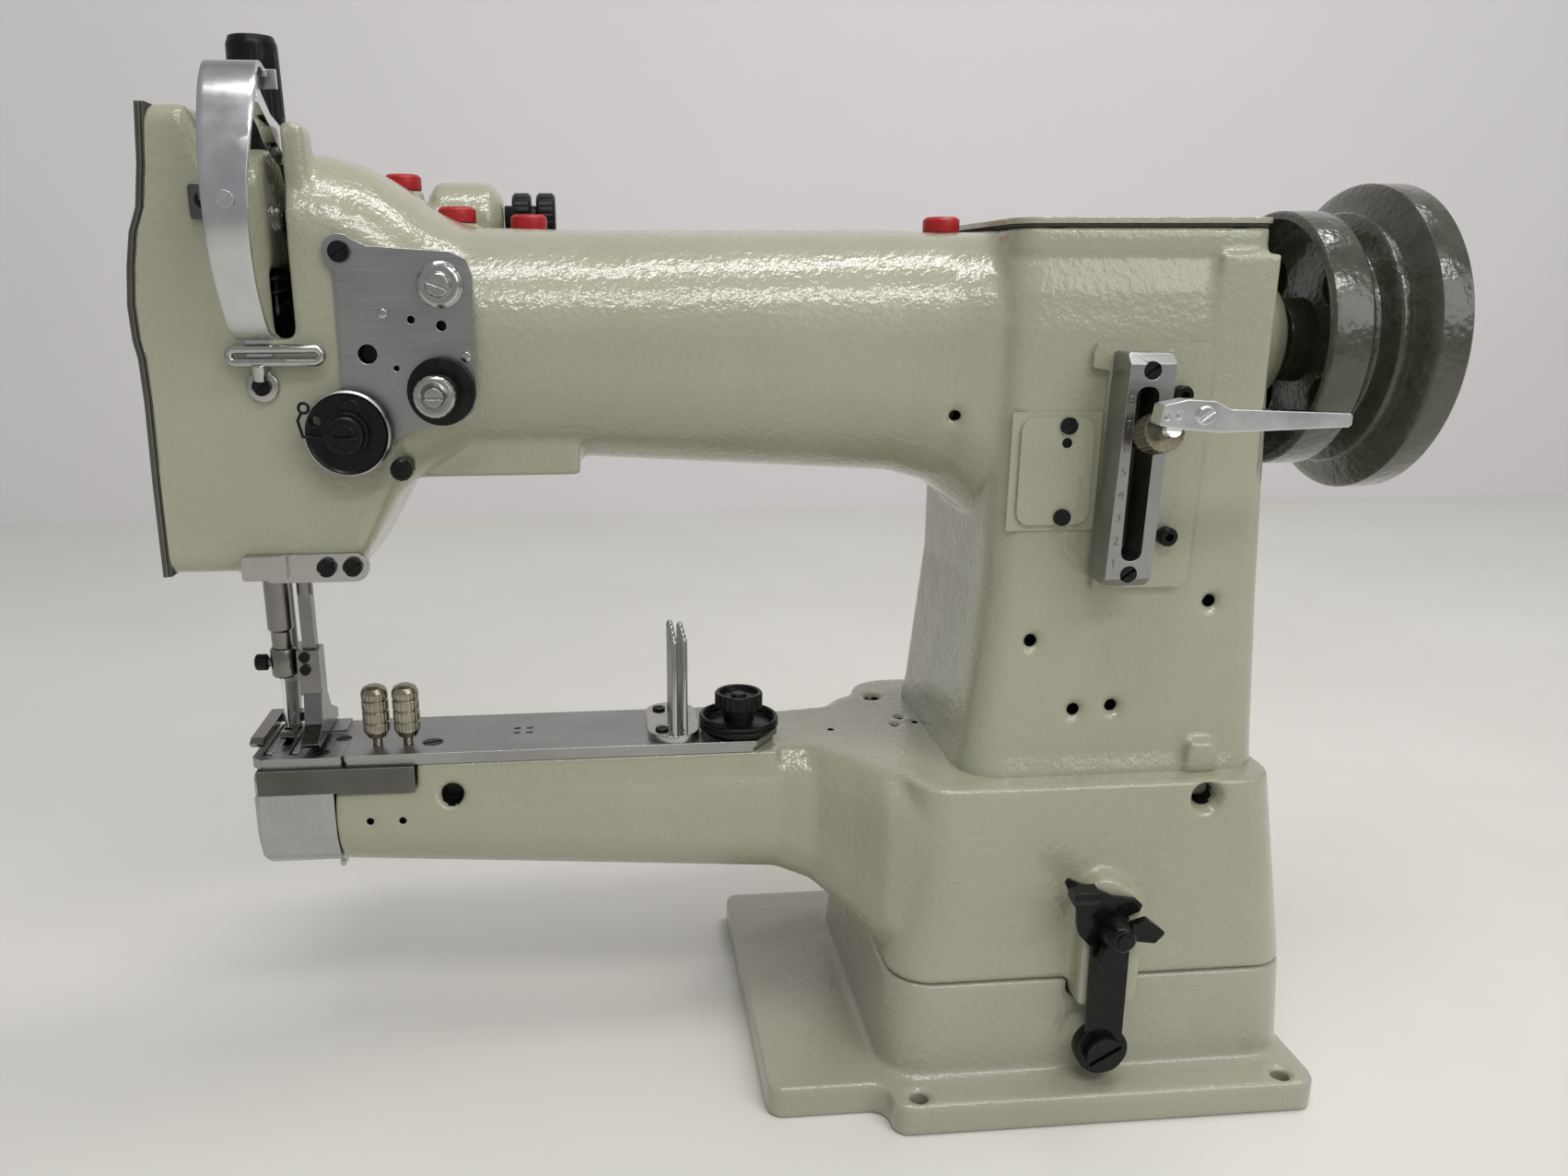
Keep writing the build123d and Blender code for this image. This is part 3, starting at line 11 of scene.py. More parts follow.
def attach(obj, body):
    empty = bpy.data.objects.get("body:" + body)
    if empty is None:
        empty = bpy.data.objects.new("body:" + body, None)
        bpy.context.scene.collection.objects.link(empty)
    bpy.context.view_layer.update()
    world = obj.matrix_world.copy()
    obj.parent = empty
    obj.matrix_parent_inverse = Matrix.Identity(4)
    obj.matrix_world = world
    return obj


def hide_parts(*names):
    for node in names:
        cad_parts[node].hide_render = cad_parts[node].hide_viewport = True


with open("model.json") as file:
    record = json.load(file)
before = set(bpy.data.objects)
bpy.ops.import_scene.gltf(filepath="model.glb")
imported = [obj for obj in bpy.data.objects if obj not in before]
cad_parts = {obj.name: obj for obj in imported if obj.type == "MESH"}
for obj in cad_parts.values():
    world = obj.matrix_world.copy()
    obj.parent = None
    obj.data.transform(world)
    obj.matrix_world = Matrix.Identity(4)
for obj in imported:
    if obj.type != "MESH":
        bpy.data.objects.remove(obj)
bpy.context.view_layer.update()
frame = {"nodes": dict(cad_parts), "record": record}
nodes = frame["nodes"]
MM = 0.001


# ------------------------------------------------------------------ node helpers
class Shader:
    """Thin wrapper that keeps node-tree code short."""

    def __init__(self, name):
        self.mat = bpy.data.materials.new(name)
        self.mat.use_nodes = True
        self.nt = self.mat.node_tree
        self.nt.nodes.clear()
        self.out = self.nt.nodes.new("ShaderNodeOutputMaterial")
        self.bsdf = self.nt.nodes.new("ShaderNodeBsdfPrincipled")
        self.nt.links.new(self.bsdf.outputs[0], self.out.inputs[0])
        self.coord = self.nt.nodes.new("ShaderNodeTexCoord").outputs["Object"]

    def node(self, kind, **values):
        n = self.nt.nodes.new(kind)
        for key, value in values.items():
            if hasattr(n, key):
                setattr(n, key, value)
        return n

    def link(self, a, b):
        self.nt.links.new(a, b)

    def put(self, socket, value):
        """Value or link into a socket of the principled shader."""
        target = self.bsdf.inputs[socket]
        if hasattr(value, "is_linked") or hasattr(value, "links"):
            self.link(value, target)
        else:
            target.default_value = value

    def mapping(self, scale=(1, 1, 1), rotation=(0, 0, 0)):
        m = self.node("ShaderNodeMapping")
        m.inputs["Scale"].default_value = scale
        m.inputs["Rotation"].default_value = rotation
        self.link(self.coord, m.inputs["Vector"])
        return m.outputs[0]

    def noise(self, scale, detail=2.0, rough=0.5, vector=None, distortion=0.0):
        n = self.node("ShaderNodeTexNoise")
        n.inputs["Scale"].default_value = scale
        n.inputs["Detail"].default_value = detail
        n.inputs["Roughness"].default_value = rough
        n.inputs["Distortion"].default_value = distortion
        self.link(vector or self.coord, n.inputs["Vector"])
        return n.outputs["Fac"]

    def voronoi(self, scale, vector=None, feature="SMOOTH_F1", smooth=0.6):
        n = self.node("ShaderNodeTexVoronoi")
        n.feature = feature
        n.inputs["Scale"].default_value = scale
        if "Smoothness" in n.inputs:
            n.inputs["Smoothness"].default_value = smooth
        self.link(vector or self.coord, n.inputs["Vector"])
        return n.outputs["Distance"]

    def ramp(self, fac, stops):
        r = self.node("ShaderNodeValToRGB")
        r.color_ramp.elements[0].position = stops[0][0]
        r.color_ramp.elements[0].color = (*stops[0][1], 1)
        r.color_ramp.elements[1].position = stops[-1][0]
        r.color_ramp.elements[1].color = (*stops[-1][1], 1)
        for pos, col in stops[1:-1]:
            e = r.color_ramp.elements.new(pos)
            e.color = (*col, 1)
        self.link(fac, r.inputs[0])
        return r.outputs[0]

    def remap(self, fac, a, b, lo, hi):
        m = self.node("ShaderNodeMapRange")
        m.inputs["From Min"].default_value = a
        m.inputs["From Max"].default_value = b
        m.inputs["To Min"].default_value = lo
        m.inputs["To Max"].default_value = hi
        self.link(fac, m.inputs["Value"])
        return m.outputs[0]

    def math(self, op, a, b):
        m = self.node("ShaderNodeMath")
        m.operation = op
        for i, v in enumerate((a, b)):
            if isinstance(v, (int, float)):
                m.inputs[i].default_value = v
            else:
                self.link(v, m.inputs[i])
        return m.outputs[0]

    def mix(self, fac, a, b):
        m = self.node("ShaderNodeMix")
        m.data_type = "RGBA"
        for i, v in ((0, fac), (6, a), (7, b)):
            if hasattr(v, "links"):
                self.link(v, m.inputs[i])
            elif i:
                m.inputs[i].default_value = (*v, 1)
            else:
                m.inputs[i].default_value = v
        return m.outputs[2]

    def bump(self, height, strength, distance, normal=None):
        b = self.node("ShaderNodeBump")
        b.inputs["Strength"].default_value = strength
        b.inputs["Distance"].default_value = distance
        self.link(height, b.inputs["Height"])
        if normal is not None:
            self.link(normal, b.inputs["Normal"])
        return b.outputs[0]

    def soft_edge(self, radius):
        b = self.node("ShaderNodeBevel")
        b.samples = 4
        b.inputs["Radius"].default_value = radius
        return b.outputs[0]

    def edge_mask(self, radius):
        """One along sharp edges, nought on flats."""
        bevel = self.soft_edge(radius)
        geo = self.node("ShaderNodeNewGeometry")
        dot = self.node("ShaderNodeVectorMath")
        dot.operation = "DOT_PRODUCT"
        self.link(bevel, dot.inputs[0])
        self.link(geo.outputs["Normal"], dot.inputs[1])
        return self.remap(dot.outputs["Value"], 0.995, 0.86, 0.0, 1.0)


def enamel(name, color, dark, light, rough=0.2, peel=0.46, peel_scale=400.0):
    """Thick gloss machine enamel: orange peel, faint mottling, faint dust in small patches."""
    s = Shader(name)
    broad = s.noise(14.0, 3.0, 0.6)
    fine = s.noise(260.0, 2.0, 0.5)
    tone = s.ramp(broad, [(0.3, dark), (0.55, color), (0.75, light)])
    tone = s.mix(s.remap(fine, 0.45, 0.75, 0.0, 0.10), tone, light)
    s.put("Base Color", tone)
    s.put("Roughness", s.remap(s.noise(60.0, 3.0, 0.6), 0.3, 0.7, rough, rough + 0.10))
    s.put("Coat Weight", 0.6)
    s.put("Coat Roughness", 0.07)
    s.put("Specular IOR Level", 0.5)
    peel_low = s.noise(peel_scale, 1.5, 0.45)
    peel_high = s.noise(peel_scale * 2.6, 1.0, 0.5)
    height = s.math("ADD", peel_low, s.math("MULTIPLY", peel_high, 0.35))
    wave = s.noise(55.0, 1.0, 0.4)
    normal = s.bump(wave, 0.25, 0.002)
    normal = s.bump(height, peel, 0.0006, normal)
    s.put("Normal", normal)
    s.link(normal, s.bsdf.inputs["Coat Normal"])
    return s.mat


def brushed(name, color, rough=0.3, direction="X", fine=1.0, edge=0.0004, tint=0.06, streak=0.12):
    """Ground or brushed metal: stretched streaks, small scratches, lighter edges that are partly wear and partly a
    painted edge highlight.
    """
    s = Shader(name)
    squeeze = {"X": (0.03, 1, 1), "Y": (1, 0.03, 1), "Z": (1, 1, 0.03)}[direction]
    lines = s.mapping(tuple(v * 1400 * fine for v in squeeze))
    streaks = s.noise(1.0, 3.0, 0.65, lines)
    stains = s.noise(38.0, 3.0, 0.6)
    dark = tuple(c * (1 - tint * 2) for c in color)
    light = tuple(min(1, c * (1 + tint)) for c in color)
    tone = s.ramp(stains, [(0.3, dark), (0.55, color), (0.8, light)])
    tone = s.mix(s.remap(streaks, 0.35, 0.65, 0.0, streak), tone, light)
    # lighter colour along every sharp edge: partly worn metal, partly a painted edge highlight
    wear = s.edge_mask(edge)
    s.put("Base Color", s.mix(s.math("MULTIPLY", wear, 0.5), tone, (0.85, 0.85, 0.84)))
    s.put("Metallic", 1.0)
    s.put("Roughness", s.remap(streaks, 0.3, 0.7, rough - 0.06, rough + 0.10))
    s.put("Anisotropic", 0.3)
    s.put("Normal", s.bump(streaks, 0.10, 0.00012, s.soft_edge(edge)))
    return s.mat


def chrome(name, color=(0.82, 0.82, 0.83), rough=0.07, edge=0.0005):
    s = Shader(name)
    smudge = s.noise(90.0, 4.0, 0.65)
    s.put("Base Color", s.ramp(smudge, [(0.3, tuple(c * 0.9 for c in color)), (0.7, color)]))
    s.put("Metallic", 1.0)
    s.put("Roughness", s.remap(smudge, 0.35, 0.75, rough, rough + 0.12))
    s.put("Normal", s.bump(s.noise(140.0, 1.0), 0.05, 0.0003, s.soft_edge(edge)))
    return s.mat


def black_oxide(name, color=(0.005, 0.005, 0.005), rough=0.3, edge=0.0003, wear=0.30):
    s = Shader(name)
    mottle = s.noise(320.0, 3.0, 0.6)
    mask = s.math("MULTIPLY", s.edge_mask(edge), s.remap(s.noise(500.0, 2.0), 0.4, 0.6, 0.0, wear))
    tone = s.ramp(mottle, [(0.3, color), (0.75, tuple(c * 2.2 for c in color))])
    s.put("Base Color", s.mix(mask, tone, (0.30, 0.29, 0.27)))
    s.put("Metallic", 0.3)
    s.put("Specular IOR Level", 0.2)
    s.put("Roughness", s.remap(mottle, 0.3, 0.7, rough - 0.05, rough + 0.15))
    s.put("Coat Weight", 0.08)
    s.put("Coat Roughness", 0.15)
    s.put("Normal", s.bump(mottle, 0.12, 0.0002, s.soft_edge(edge)))
    return s.mat


def hammertone(name):
    """Dark grey-green hammered paint of the handwheel."""
    s = Shader(name)
    cells = s.voronoi(330.0, smooth=0.8)
    mottle = s.noise(150.0, 3.0, 0.6)
    tone = s.ramp(mottle, [(0.3, (0.034, 0.033, 0.020)), (0.55, (0.048, 0.047, 0.030)), (0.8, (0.064, 0.062, 0.042))])
    s.put("Base Color", tone)
    s.put("Roughness", s.remap(mottle, 0.3, 0.7, 0.2, 0.32))
    s.put("Coat Weight", 0.6)
    s.put("Coat Roughness", 0.1)
    normal = s.bump(cells, 0.26, 0.0008)
    normal = s.bump(s.noise(600.0, 2.0), 0.3, 0.0005, normal)
    s.put("Normal", normal)
    s.link(normal, s.bsdf.inputs["Coat Normal"])
    return s.mat


def plastic(name, color, dark, rough=0.3):
    s = Shader(name)
    mottle = s.noise(240.0, 3.0, 0.6)
    s.put("Base Color", s.ramp(mottle, [(0.3, dark), (0.7, color)]))
    s.put("Roughness", s.remap(mottle, 0.3, 0.7, rough, rough + 0.15))
    s.put("Subsurface Weight", 0.0)
    s.put("Normal", s.bump(mottle, 0.1, 0.0002, s.soft_edge(0.0005)))
    return s.mat


def gasket_mat(name):
    s = Shader(name)
    mottle = s.noise(700.0, 3.0, 0.7)
    s.put("Base Color", s.ramp(mottle, [(0.3, (0.045, 0.045, 0.035)), (0.7, (0.09, 0.088, 0.07))]))
    s.put("Roughness", s.remap(mottle, 0.3, 0.7, 0.75, 0.95))
    s.put("Normal", s.bump(mottle, 0.4, 0.0003))
    return s.mat


ENAMEL = enamel("enamel_grey_green", (0.345, 0.344, 0.252), (0.328, 0.327, 0.236), (0.368, 0.367, 0.274))
BASE_ENAMEL = enamel("enamel_base", (0.340, 0.334, 0.256), (0.322, 0.316, 0.240), (0.362, 0.356, 0.276), rough=0.26)
STEEL = brushed("satin_steel", (0.56, 0.56, 0.56))
STEEL_Z = brushed("satin_steel_vertical", (0.60, 0.60, 0.60), direction="Z")
PLATE_STEEL = brushed("plate_steel", (0.36, 0.36, 0.355), rough=0.32, direction="X")
STEEL_DARK = brushed("dark_ground_steel", (0.14, 0.135, 0.125), rough=0.36, tint=0.12)
TURNED = brushed("turned_steel", (0.44, 0.435, 0.43), rough=0.24, direction="Z", fine=0.5, streak=0.4)
STEEL_MID = brushed("bar_steel", (0.24, 0.235, 0.22), rough=0.22, direction="Z", tint=0.1)
CHROME = chrome("chrome")
SATIN = chrome("satin_chrome", (0.60, 0.60, 0.61), rough=0.17)
BLACK = black_oxide("black_oxide")
BLACK_GLOSS = black_oxide("black_gloss", (0.006, 0.006, 0.006), rough=0.16, wear=0.1)
HAMMER = hammertone("handwheel_hammertone")
BRASSY = brushed("nickelled_brass", (0.36, 0.335, 0.25), rough=0.22, direction="Z", tint=0.1)
OLD_BRASS = brushed("old_brass", (0.20, 0.185, 0.125), rough=0.34, direction="Z", tint=0.12)
NICKEL = chrome("nickel", (0.48, 0.475, 0.45), rough=0.12)
BRONZE = brushed("bronze", (0.42, 0.27, 0.12), rough=0.35)
RED = plastic("red_plastic", (0.42, 0.010, 0.012), (0.34, 0.006, 0.008))
GASKET = gasket_mat("gasket_card")
RUBBER = plastic("black_rubber", (0.02, 0.02, 0.02), (0.012, 0.012, 0.012), rough=0.6)

SLOT_MATERIAL = {
    "enamel": ENAMEL, "base_enamel": BASE_ENAMEL, "hammertone": HAMMER, "satin_steel": STEEL, "chrome": CHROME,
    "black_oxide": BLACK, "dark_steel": STEEL_DARK, "nickel_brass": BRASSY, "bronze": BRONZE, "gasket": GASKET,
    "belt": RUBBER, "red_plastic": RED,
}
slot_of = {entry["node"]: entry["material_slot"] for entry in frame["record"]["subparts"]}
body_of = {n: body for body, members in frame["record"]["behaviour"]["bodies"].items() for n in members}


def dress(obj, material):
    """One material on the whole piece."""
    obj.data.materials.clear()
    obj.data.materials.append(material)


def crisp(obj, width=0.0003, angle=32):
    """Machined edges: joins the mesh up and breaks each sharp edge with a small real bevel."""
    weld = obj.modifiers.new("weld", "WELD")
    weld.merge_threshold = 0.000002
    bevel = obj.modifiers.new("edge", "BEVEL")
    bevel.width = width
    bevel.segments = 2
    bevel.limit_method = "ANGLE"
    bevel.angle_limit = math.radians(angle)
    bevel.harden_normals = False


def region(name, material, test):
    """Second material on the faces whose centre, in millimetres, passes the test."""
    mesh = nodes[name].data
    mesh.materials.append(material)
    index = len(mesh.materials) - 1
    for poly in mesh.polygons:
        if test(poly.center / MM):
            poly.material_index = index


for name, obj in nodes.items():
    dress(obj, SLOT_MATERIAL[slot_of[name]])
dress(nodes["latch_arm"], BLACK_GLOSS)
dress(nodes["latch_screw_and_stud"], BLACK_GLOSS)
dress(nodes["wing_nut"], BLACK_GLOSS)
dress(nodes["faceplate"], STEEL_DARK)
for name in ("bed_cover_plate", "tension_plate", "needle_plate", "stitch_scale_block"):
    dress(nodes[name], PLATE_STEEL)
dress(nodes["hook_cover"], TURNED)
dress(nodes["take_up_guard"], SATIN)
for name in ("tension_nut", "tension_posts", "lower_head_bracket"):
    dress(nodes[name], NICKEL)
dress(nodes["stitch_lock_nut"], OLD_BRASS)
dress(nodes["pin_plate_with_pins"], NICKEL)
for name in ("needle_bar", "presser_bar", "inner_foot", "outer_foot", "needle_clamp"):
    dress(nodes[name], STEEL_MID)
region("needle_clamp", BLACK, lambda c: c.x < -314.2)
region("slotted_screws", STEEL, lambda c: c.y < -71 and c.z > 325)
region("take_up_guard", STEEL_DARK, lambda c: c.x < -299.4)
region("outer_foot", BLACK, lambda c: c.y < -4.7 and c.z > 160)
# walls and floor of the shallow hole in the front cover plate are coloured black: painted shade
region("front_cover_plate", BLACK, lambda c: c.y > -51.9 and math.hypot(c.x + 23.1, c.z - 255.3) < 1.85)
region("check_spring_disc", STEEL, lambda c: c.y < -50.1 and math.hypot(c.x + 267.8, c.z - 261.8) > 13.4)


# ------------------------------------------------------------------ castings with soft cast fillets
def applied(obj, name):
    """Mesh of obj with its modifiers, as a new object."""
    bpy.context.view_layer.update()
    graph = bpy.context.evaluated_depsgraph_get()
    mesh = bpy.data.meshes.new_from_object(obj.evaluated_get(graph))
    mesh.name = name
    new = bpy.data.objects.new(name, mesh)
    bpy.context.scene.collection.objects.link(new)
    return new


def cast_piece(node, name, voxel, rounds, material, extras=()):
    """Casting with every edge and corner rounded: voxels of the CAD solid, then relaxed."""
    tmp = nodes[node].copy()
    tmp.data = nodes[node].data.copy()
    tmp.parent = None
    bpy.context.scene.collection.objects.link(tmp)
    parts = [tmp]
    for extra in extras:
        parts.append(extra)
    if len(parts) > 1:
        with bpy.context.temp_override(active_object=tmp, selected_editable_objects=parts):
            bpy.ops.object.join()
    remesh = tmp.modifiers.new("voxels", "REMESH")
    remesh.mode = "VOXEL"
    remesh.voxel_size = voxel
    smooth = tmp.modifiers.new("relax", "SMOOTH")
    smooth.factor = 0.5
    smooth.iterations = rounds
    piece = applied(tmp, name)
    bpy.data.objects.remove(tmp)
    for p in piece.data.polygons:
        p.use_smooth = True
    dress(piece, material)
    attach(piece, body_of[node])
    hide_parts(node)
    return piece


def tube(bm, radius, start, end, sides=40):
    """Closed cylinder between two points, in millimetres, added to bm."""
    a, b = Vector(start) * MM, Vector(end) * MM
    turn = (b - a).to_track_quat("Z", "Y").to_matrix().to_4x4()
    place = Matrix.Translation((a + b) / 2) @ turn
    bmesh.ops.create_cone(bm, cap_ends=True, segments=sides, radius1=radius * MM, radius2=radius * MM,
                          depth=(b - a).length, matrix=place)


def prism(bm, outline, y0, y1):
    """Outline of (x, z) points in millimetres, raised along Y, added to bm."""
    front = [bm.verts.new(Vector((x, y0, z)) * MM) for x, z in outline]
    back = [bm.verts.new(Vector((x, y1, z)) * MM) for x, z in outline]
    faces = [bm.faces.new(front), bm.faces.new(back[::-1])]
    for i in range(len(outline)):
        j = (i + 1) % len(outline)
        faces.append(bm.faces.new((front[j], front[i], back[i], back[j])))
    bmesh.ops.recalc_face_normals(bm, faces=faces)


def drill(piece, bores, bore_material, outlines=()):
    """Cuts clean bores into a finished casting; each bore is (radius, start, end)."""
    bm = bmesh.new()
    for radius, start, end in bores:
        tube(bm, radius, start, end)
    for outline in outlines:
        prism(bm, outline, -60, 60)
    mesh = bpy.data.meshes.new("bores")
    bm.to_mesh(mesh)
    bm.free()
    cutter = bpy.data.objects.new("bores", mesh)
    bpy.context.scene.collection.objects.link(cutter)
    cut = piece.modifiers.new("bores", "BOOLEAN")
    cut.operation = "DIFFERENCE"
    cut.solver = "EXACT"
    cut.object = cutter
    bpy.context.view_layer.update()
    graph = bpy.context.evaluated_depsgraph_get()
    new_mesh = bpy.data.meshes.new_from_object(piece.evaluated_get(graph))
    piece.modifiers.remove(cut)
    piece.data = new_mesh
    bpy.data.objects.remove(cutter)
    # walls and floors of the bores take bore_material; where that is black, it is painted shade standing for the dark
    # inside of the holes
    piece.data.materials.append(bore_material)
    for poly in piece.data.polygons:
        centre = poly.center / MM
        for radius, start, end in bores:
            a, b = Vector(start), Vector(end)
            axis = (b - a).normalized()
            along = (centre - a).dot(axis)
            off = (centre - a - axis * along).length
            wall = abs(poly.normal.dot(axis)) < 0.3 and along >= 0
            bottom = abs(along - (b - a).length) < 0.1
            if off < radius + 0.05 and (wall and along <= (b - a).length or bottom):
                poly.material_index = 1
                poly.use_smooth = False
                break


def dimple(piece, centre, axis, radius, depth):
    """Presses a soft round hollow into the paint round a hole; centre and axis in millimetres."""
    middle, line = Vector(centre), Vector(axis).normalized()
    for vert in piece.data.vertices:
        offset = vert.co / MM - middle
        along = offset.dot(line)
        away = (offset - line * along).length
        if away < radius and abs(along) < 6:
            vert.co += line * (-MM * depth * 0.5 * (1 + math.cos(math.pi * away / radius)))


voxel = 0.0012
rounds = 12


def hidden_block(low, high):
    """Box that joins a casting before its voxels are made; the part inside its neighbour stays out of sight."""
    bm = bmesh.new()
    bmesh.ops.create_cube(bm, size=1.0)
    size = (Vector(high) - Vector(low)) * MM
    bm.transform(Matrix.Translation((Vector(high) + Vector(low)) * MM / 2) @ Matrix.Diagonal((*size, 1)))
    mesh = bpy.data.meshes.new("block")
    bm.to_mesh(mesh)
    bm.free()
    obj = bpy.data.objects.new("block", mesh)
    bpy.context.scene.collection.objects.link(obj)
    return obj


def hidden_post(radius, start, end):
    """Round version of hidden_block."""
    bm = bmesh.new()
    tube(bm, radius, start, end)
    mesh = bpy.data.meshes.new("post")
    bm.to_mesh(mesh)
    bm.free()
    obj = bpy.data.objects.new("post", mesh)
    bpy.context.scene.collection.objects.link(obj)
    return obj


def hidden_prism(outline, y0, y1):
    """Straight piece with an (x, z) outline that joins a casting before its voxels are made."""
    bm = bmesh.new()
    prism(bm, outline, y0, y1)
    mesh = bpy.data.meshes.new("prism")
    bm.to_mesh(mesh)
    bm.free()
    obj = bpy.data.objects.new("prism", mesh)
    bpy.context.scene.collection.objects.link(obj)
    return obj


# the column's foot reaches into the bed, so its painted fillet runs onto the bed without a groove
foot_walls = [hidden_block((-54, -39, 121), (-44, 39, 132.4)), hidden_block((53.5, -39, 121), (63.4, 39, 132.4)),
              hidden_block((-38, -54.9, 121), (47.5, -45, 132.4)), hidden_block((-38, 45, 121), (47.5, 54.9, 132.4))]
foot_walls += [hidden_post(15.9, (x, y, 121), (x, y, 132.4)) for x in (-38, 47.5) for y in (-39, 39)]
# the head runs on to the left, so that its end can be cut off clean along the faceplate
head_end = [hidden_block((-346, -35, 213), (-326, 35, 364)), hidden_block((-346, -42, 220), (-326, 42, 358))]
head_end += [hidden_post(6.9, (-346, y, 220), (-326, y, 220)) for y in (-35, 35)]
head_end += [hidden_post(5.9, (-346, y, 358), (-326, y, 358)) for y in (-36, 36)]
# solid corner under the head's chamber
head_end.append(hidden_prism([(-274, 211), (-271.5, 211.5), (-261.5, 228), (-255, 239.5), (-255, 258), (-274, 258)],
                             -36, 36))
arm_cast = cast_piece("arm_casting", "arm_casting_cast", voxel, rounds, ENAMEL, foot_walls + head_end)
# left end of the head, behind the faceplate and its gasket
wave = [(-322.7, 364.2), (-324.2, 346), (-326.2, 333), (-329.2, 325.5), (-331.2, 315), (-332.6, 303), (-332.4, 292),
        (-331.4, 286), (-331.2, 272), (-332, 244), (-332.4, 212.8)]
end_cut = [(-360, 380), (-322.7, 380)] + wave + [(-332.4, 200), (-360, 200)]
bed_cast = cast_piece("bed_casting", "bed_casting_cast", voxel, rounds, ENAMEL)
base_cast = cast_piece("base_casting", "base_casting_cast", voxel, rounds, BASE_ENAMEL)

for x, z in ((-30, 183), (37, 196), (-12, 156), (2.5, 157)):
    dimple(arm_cast, (x, -51, z), (0, -1, 0), 6.5, 1.3)
dimple(arm_cast, (-60, -41, 264), (0, -1, 0), 5.5, 1.0)
dimple(bed_cast, (-245.4, -23, 119), (0, -1, 0), 8.0, 1.0)
for x in (-71.5, 71.5):
    for y in (-78.5, 78.5):
        dimple(base_cast, (x, y, 13.4), (0, 0, 1), 7.0, 0.9)
column_bores = [(2.3, (x, -56, z), (x, -44, z)) for x, z in ((-30, 183), (37, 196), (-12, 156), (2.5, 157))]
# shadows behind the open holes of the tension plate
plate_bores = [(radius, (x, -46, z), (x, -38.5, z))
               for x, z, radius in ((-245.5, 298, 1.9), (-235.8, 296, 2.3), (-260.3, 287.1, 3.9), (-251.2, 282.4, 1.6))]
# the arm's bores are coloured black: painted shade inside the holes
drill(arm_cast, column_bores + plate_bores + [(1.9, (-60, -50, 264), (-60, -34, 264))], BLACK, [end_cut])
# the bed's bores are coloured black too: painted shade inside the holes
drill(bed_cast, [(1.4, (x, -25, 110), (x, -17, 110)) for x in (-277, -264.6)]
      + [(4.3, (-245.4, -26, 119), (-245.4, -14, 119)), (4.2, (36.5, -72, 124.5), (36.5, -54, 124.5)),
         (3.3, (-67, 41, 122), (-67, 41, 134))]
      + [(1.4, (x, y, 122), (x, y, 134)) for x, y in ((-93, 2), (-61, 14), (-65, 6), (-56, 8))], BLACK)
drill(base_cast, [(3.4, (x, y, -1), (x, y, 16)) for x in (-71.5, 71.5) for y in (-78.5, 78.5)], BASE_ENAMEL)

for name, obj in nodes.items():
    if name not in ("arm_casting", "bed_casting", "base_casting"):
        crisp(obj)

# ------------------------------------------------------------------ thread guide: bent bar loop with an ear
def thread_guide_loop():
    curve = bpy.data.curves.new("loop", "CURVE")
    curve.dimensions = "3D"
    curve.bevel_depth = 0.0015
    curve.bevel_resolution = 8
    path = curve.splines.new("POLY")
    points = []
    for side, first in ((1, -90), (-1, 90)):
        for step in range(13):
            angle = math.radians(first + 15 * step)
            x = 12.6 * side + 2.1 * math.cos(angle)
            points.append((-289.5 + x, -45.8 - 1.4 * (1 - (x / 14.7) ** 2), 287 + 2.1 * math.sin(angle)))
    path.points.add(len(points) - 1)
    for point, place in zip(path.points, points):
        point.co = (*(Vector(place) * MM), 1)
    path.use_cyclic_u = True
    obj = bpy.data.objects.new("loop", curve)
    bpy.context.scene.collection.objects.link(obj)
    bpy.context.view_layer.update()
    loop = bpy.data.meshes.new_from_object(obj.evaluated_get(bpy.context.evaluated_depsgraph_get()))
    bpy.data.objects.remove(obj)
    bm = bmesh.new()
    bm.from_mesh(loop)
    tube(bm, 5.2, (-295, -43.8, 277), (-295, -42, 277), 48)
    tube(bm, 2.6, (-295, -44.6, 279), (-295, -46.2, 284.6), 32)
    mesh = bpy.data.meshes.new("thread_guide_loop")
    bm.to_mesh(mesh)
    bm.free()
    piece = bpy.data.objects.new("thread_guide_loop", mesh)
    bpy.context.scene.collection.objects.link(piece)
    bevel = piece.modifiers.new("edge", "BEVEL")
    bevel.width = 0.0006
    bevel.segments = 3
    bevel.limit_method = "ANGLE"
    bevel.angle_limit = math.radians(50)
    for poly in mesh.polygons:
        poly.use_smooth = True
    dress(piece, NICKEL)
    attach(piece, "machine_frame")
    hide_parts("thread_guide")


thread_guide_loop()

# ------------------------------------------------------------------ numbers of the stitch scale
def scale_numbers():
    """Plain figures stamped down the left of the scale block."""
    bm = bmesh.new()
    for step in range(8):
        z = 270.8 - step * 7.9
        x = -7.9 - step * 0.2
        text = bpy.data.curves.new("figure", "FONT")
        text.body = str(8 - step)
        text.size = 0.0046
        text.extrude = 0.00006
        text.align_x = "CENTER"
        text.align_y = "CENTER"
        obj = bpy.data.objects.new("figure", text)
        bpy.context.scene.collection.objects.link(obj)
        bpy.context.view_layer.update()
        mesh = bpy.data.meshes.new_from_object(obj.evaluated_get(bpy.context.evaluated_depsgraph_get()))
        mesh.transform(Matrix.Translation((x * MM, -0.06702, z * MM)) @ Matrix.Rotation(math.radians(90), 4, "X"))
        bm.from_mesh(mesh)
        bpy.data.objects.remove(obj)
    mesh = bpy.data.meshes.new("scale_numbers")
    bm.to_mesh(mesh)
    bm.free()
    piece = bpy.data.objects.new("scale_numbers", mesh)
    bpy.context.scene.collection.objects.link(piece)
    dress(piece, STEEL_DARK)
    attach(piece, "machine_frame")


scale_numbers()

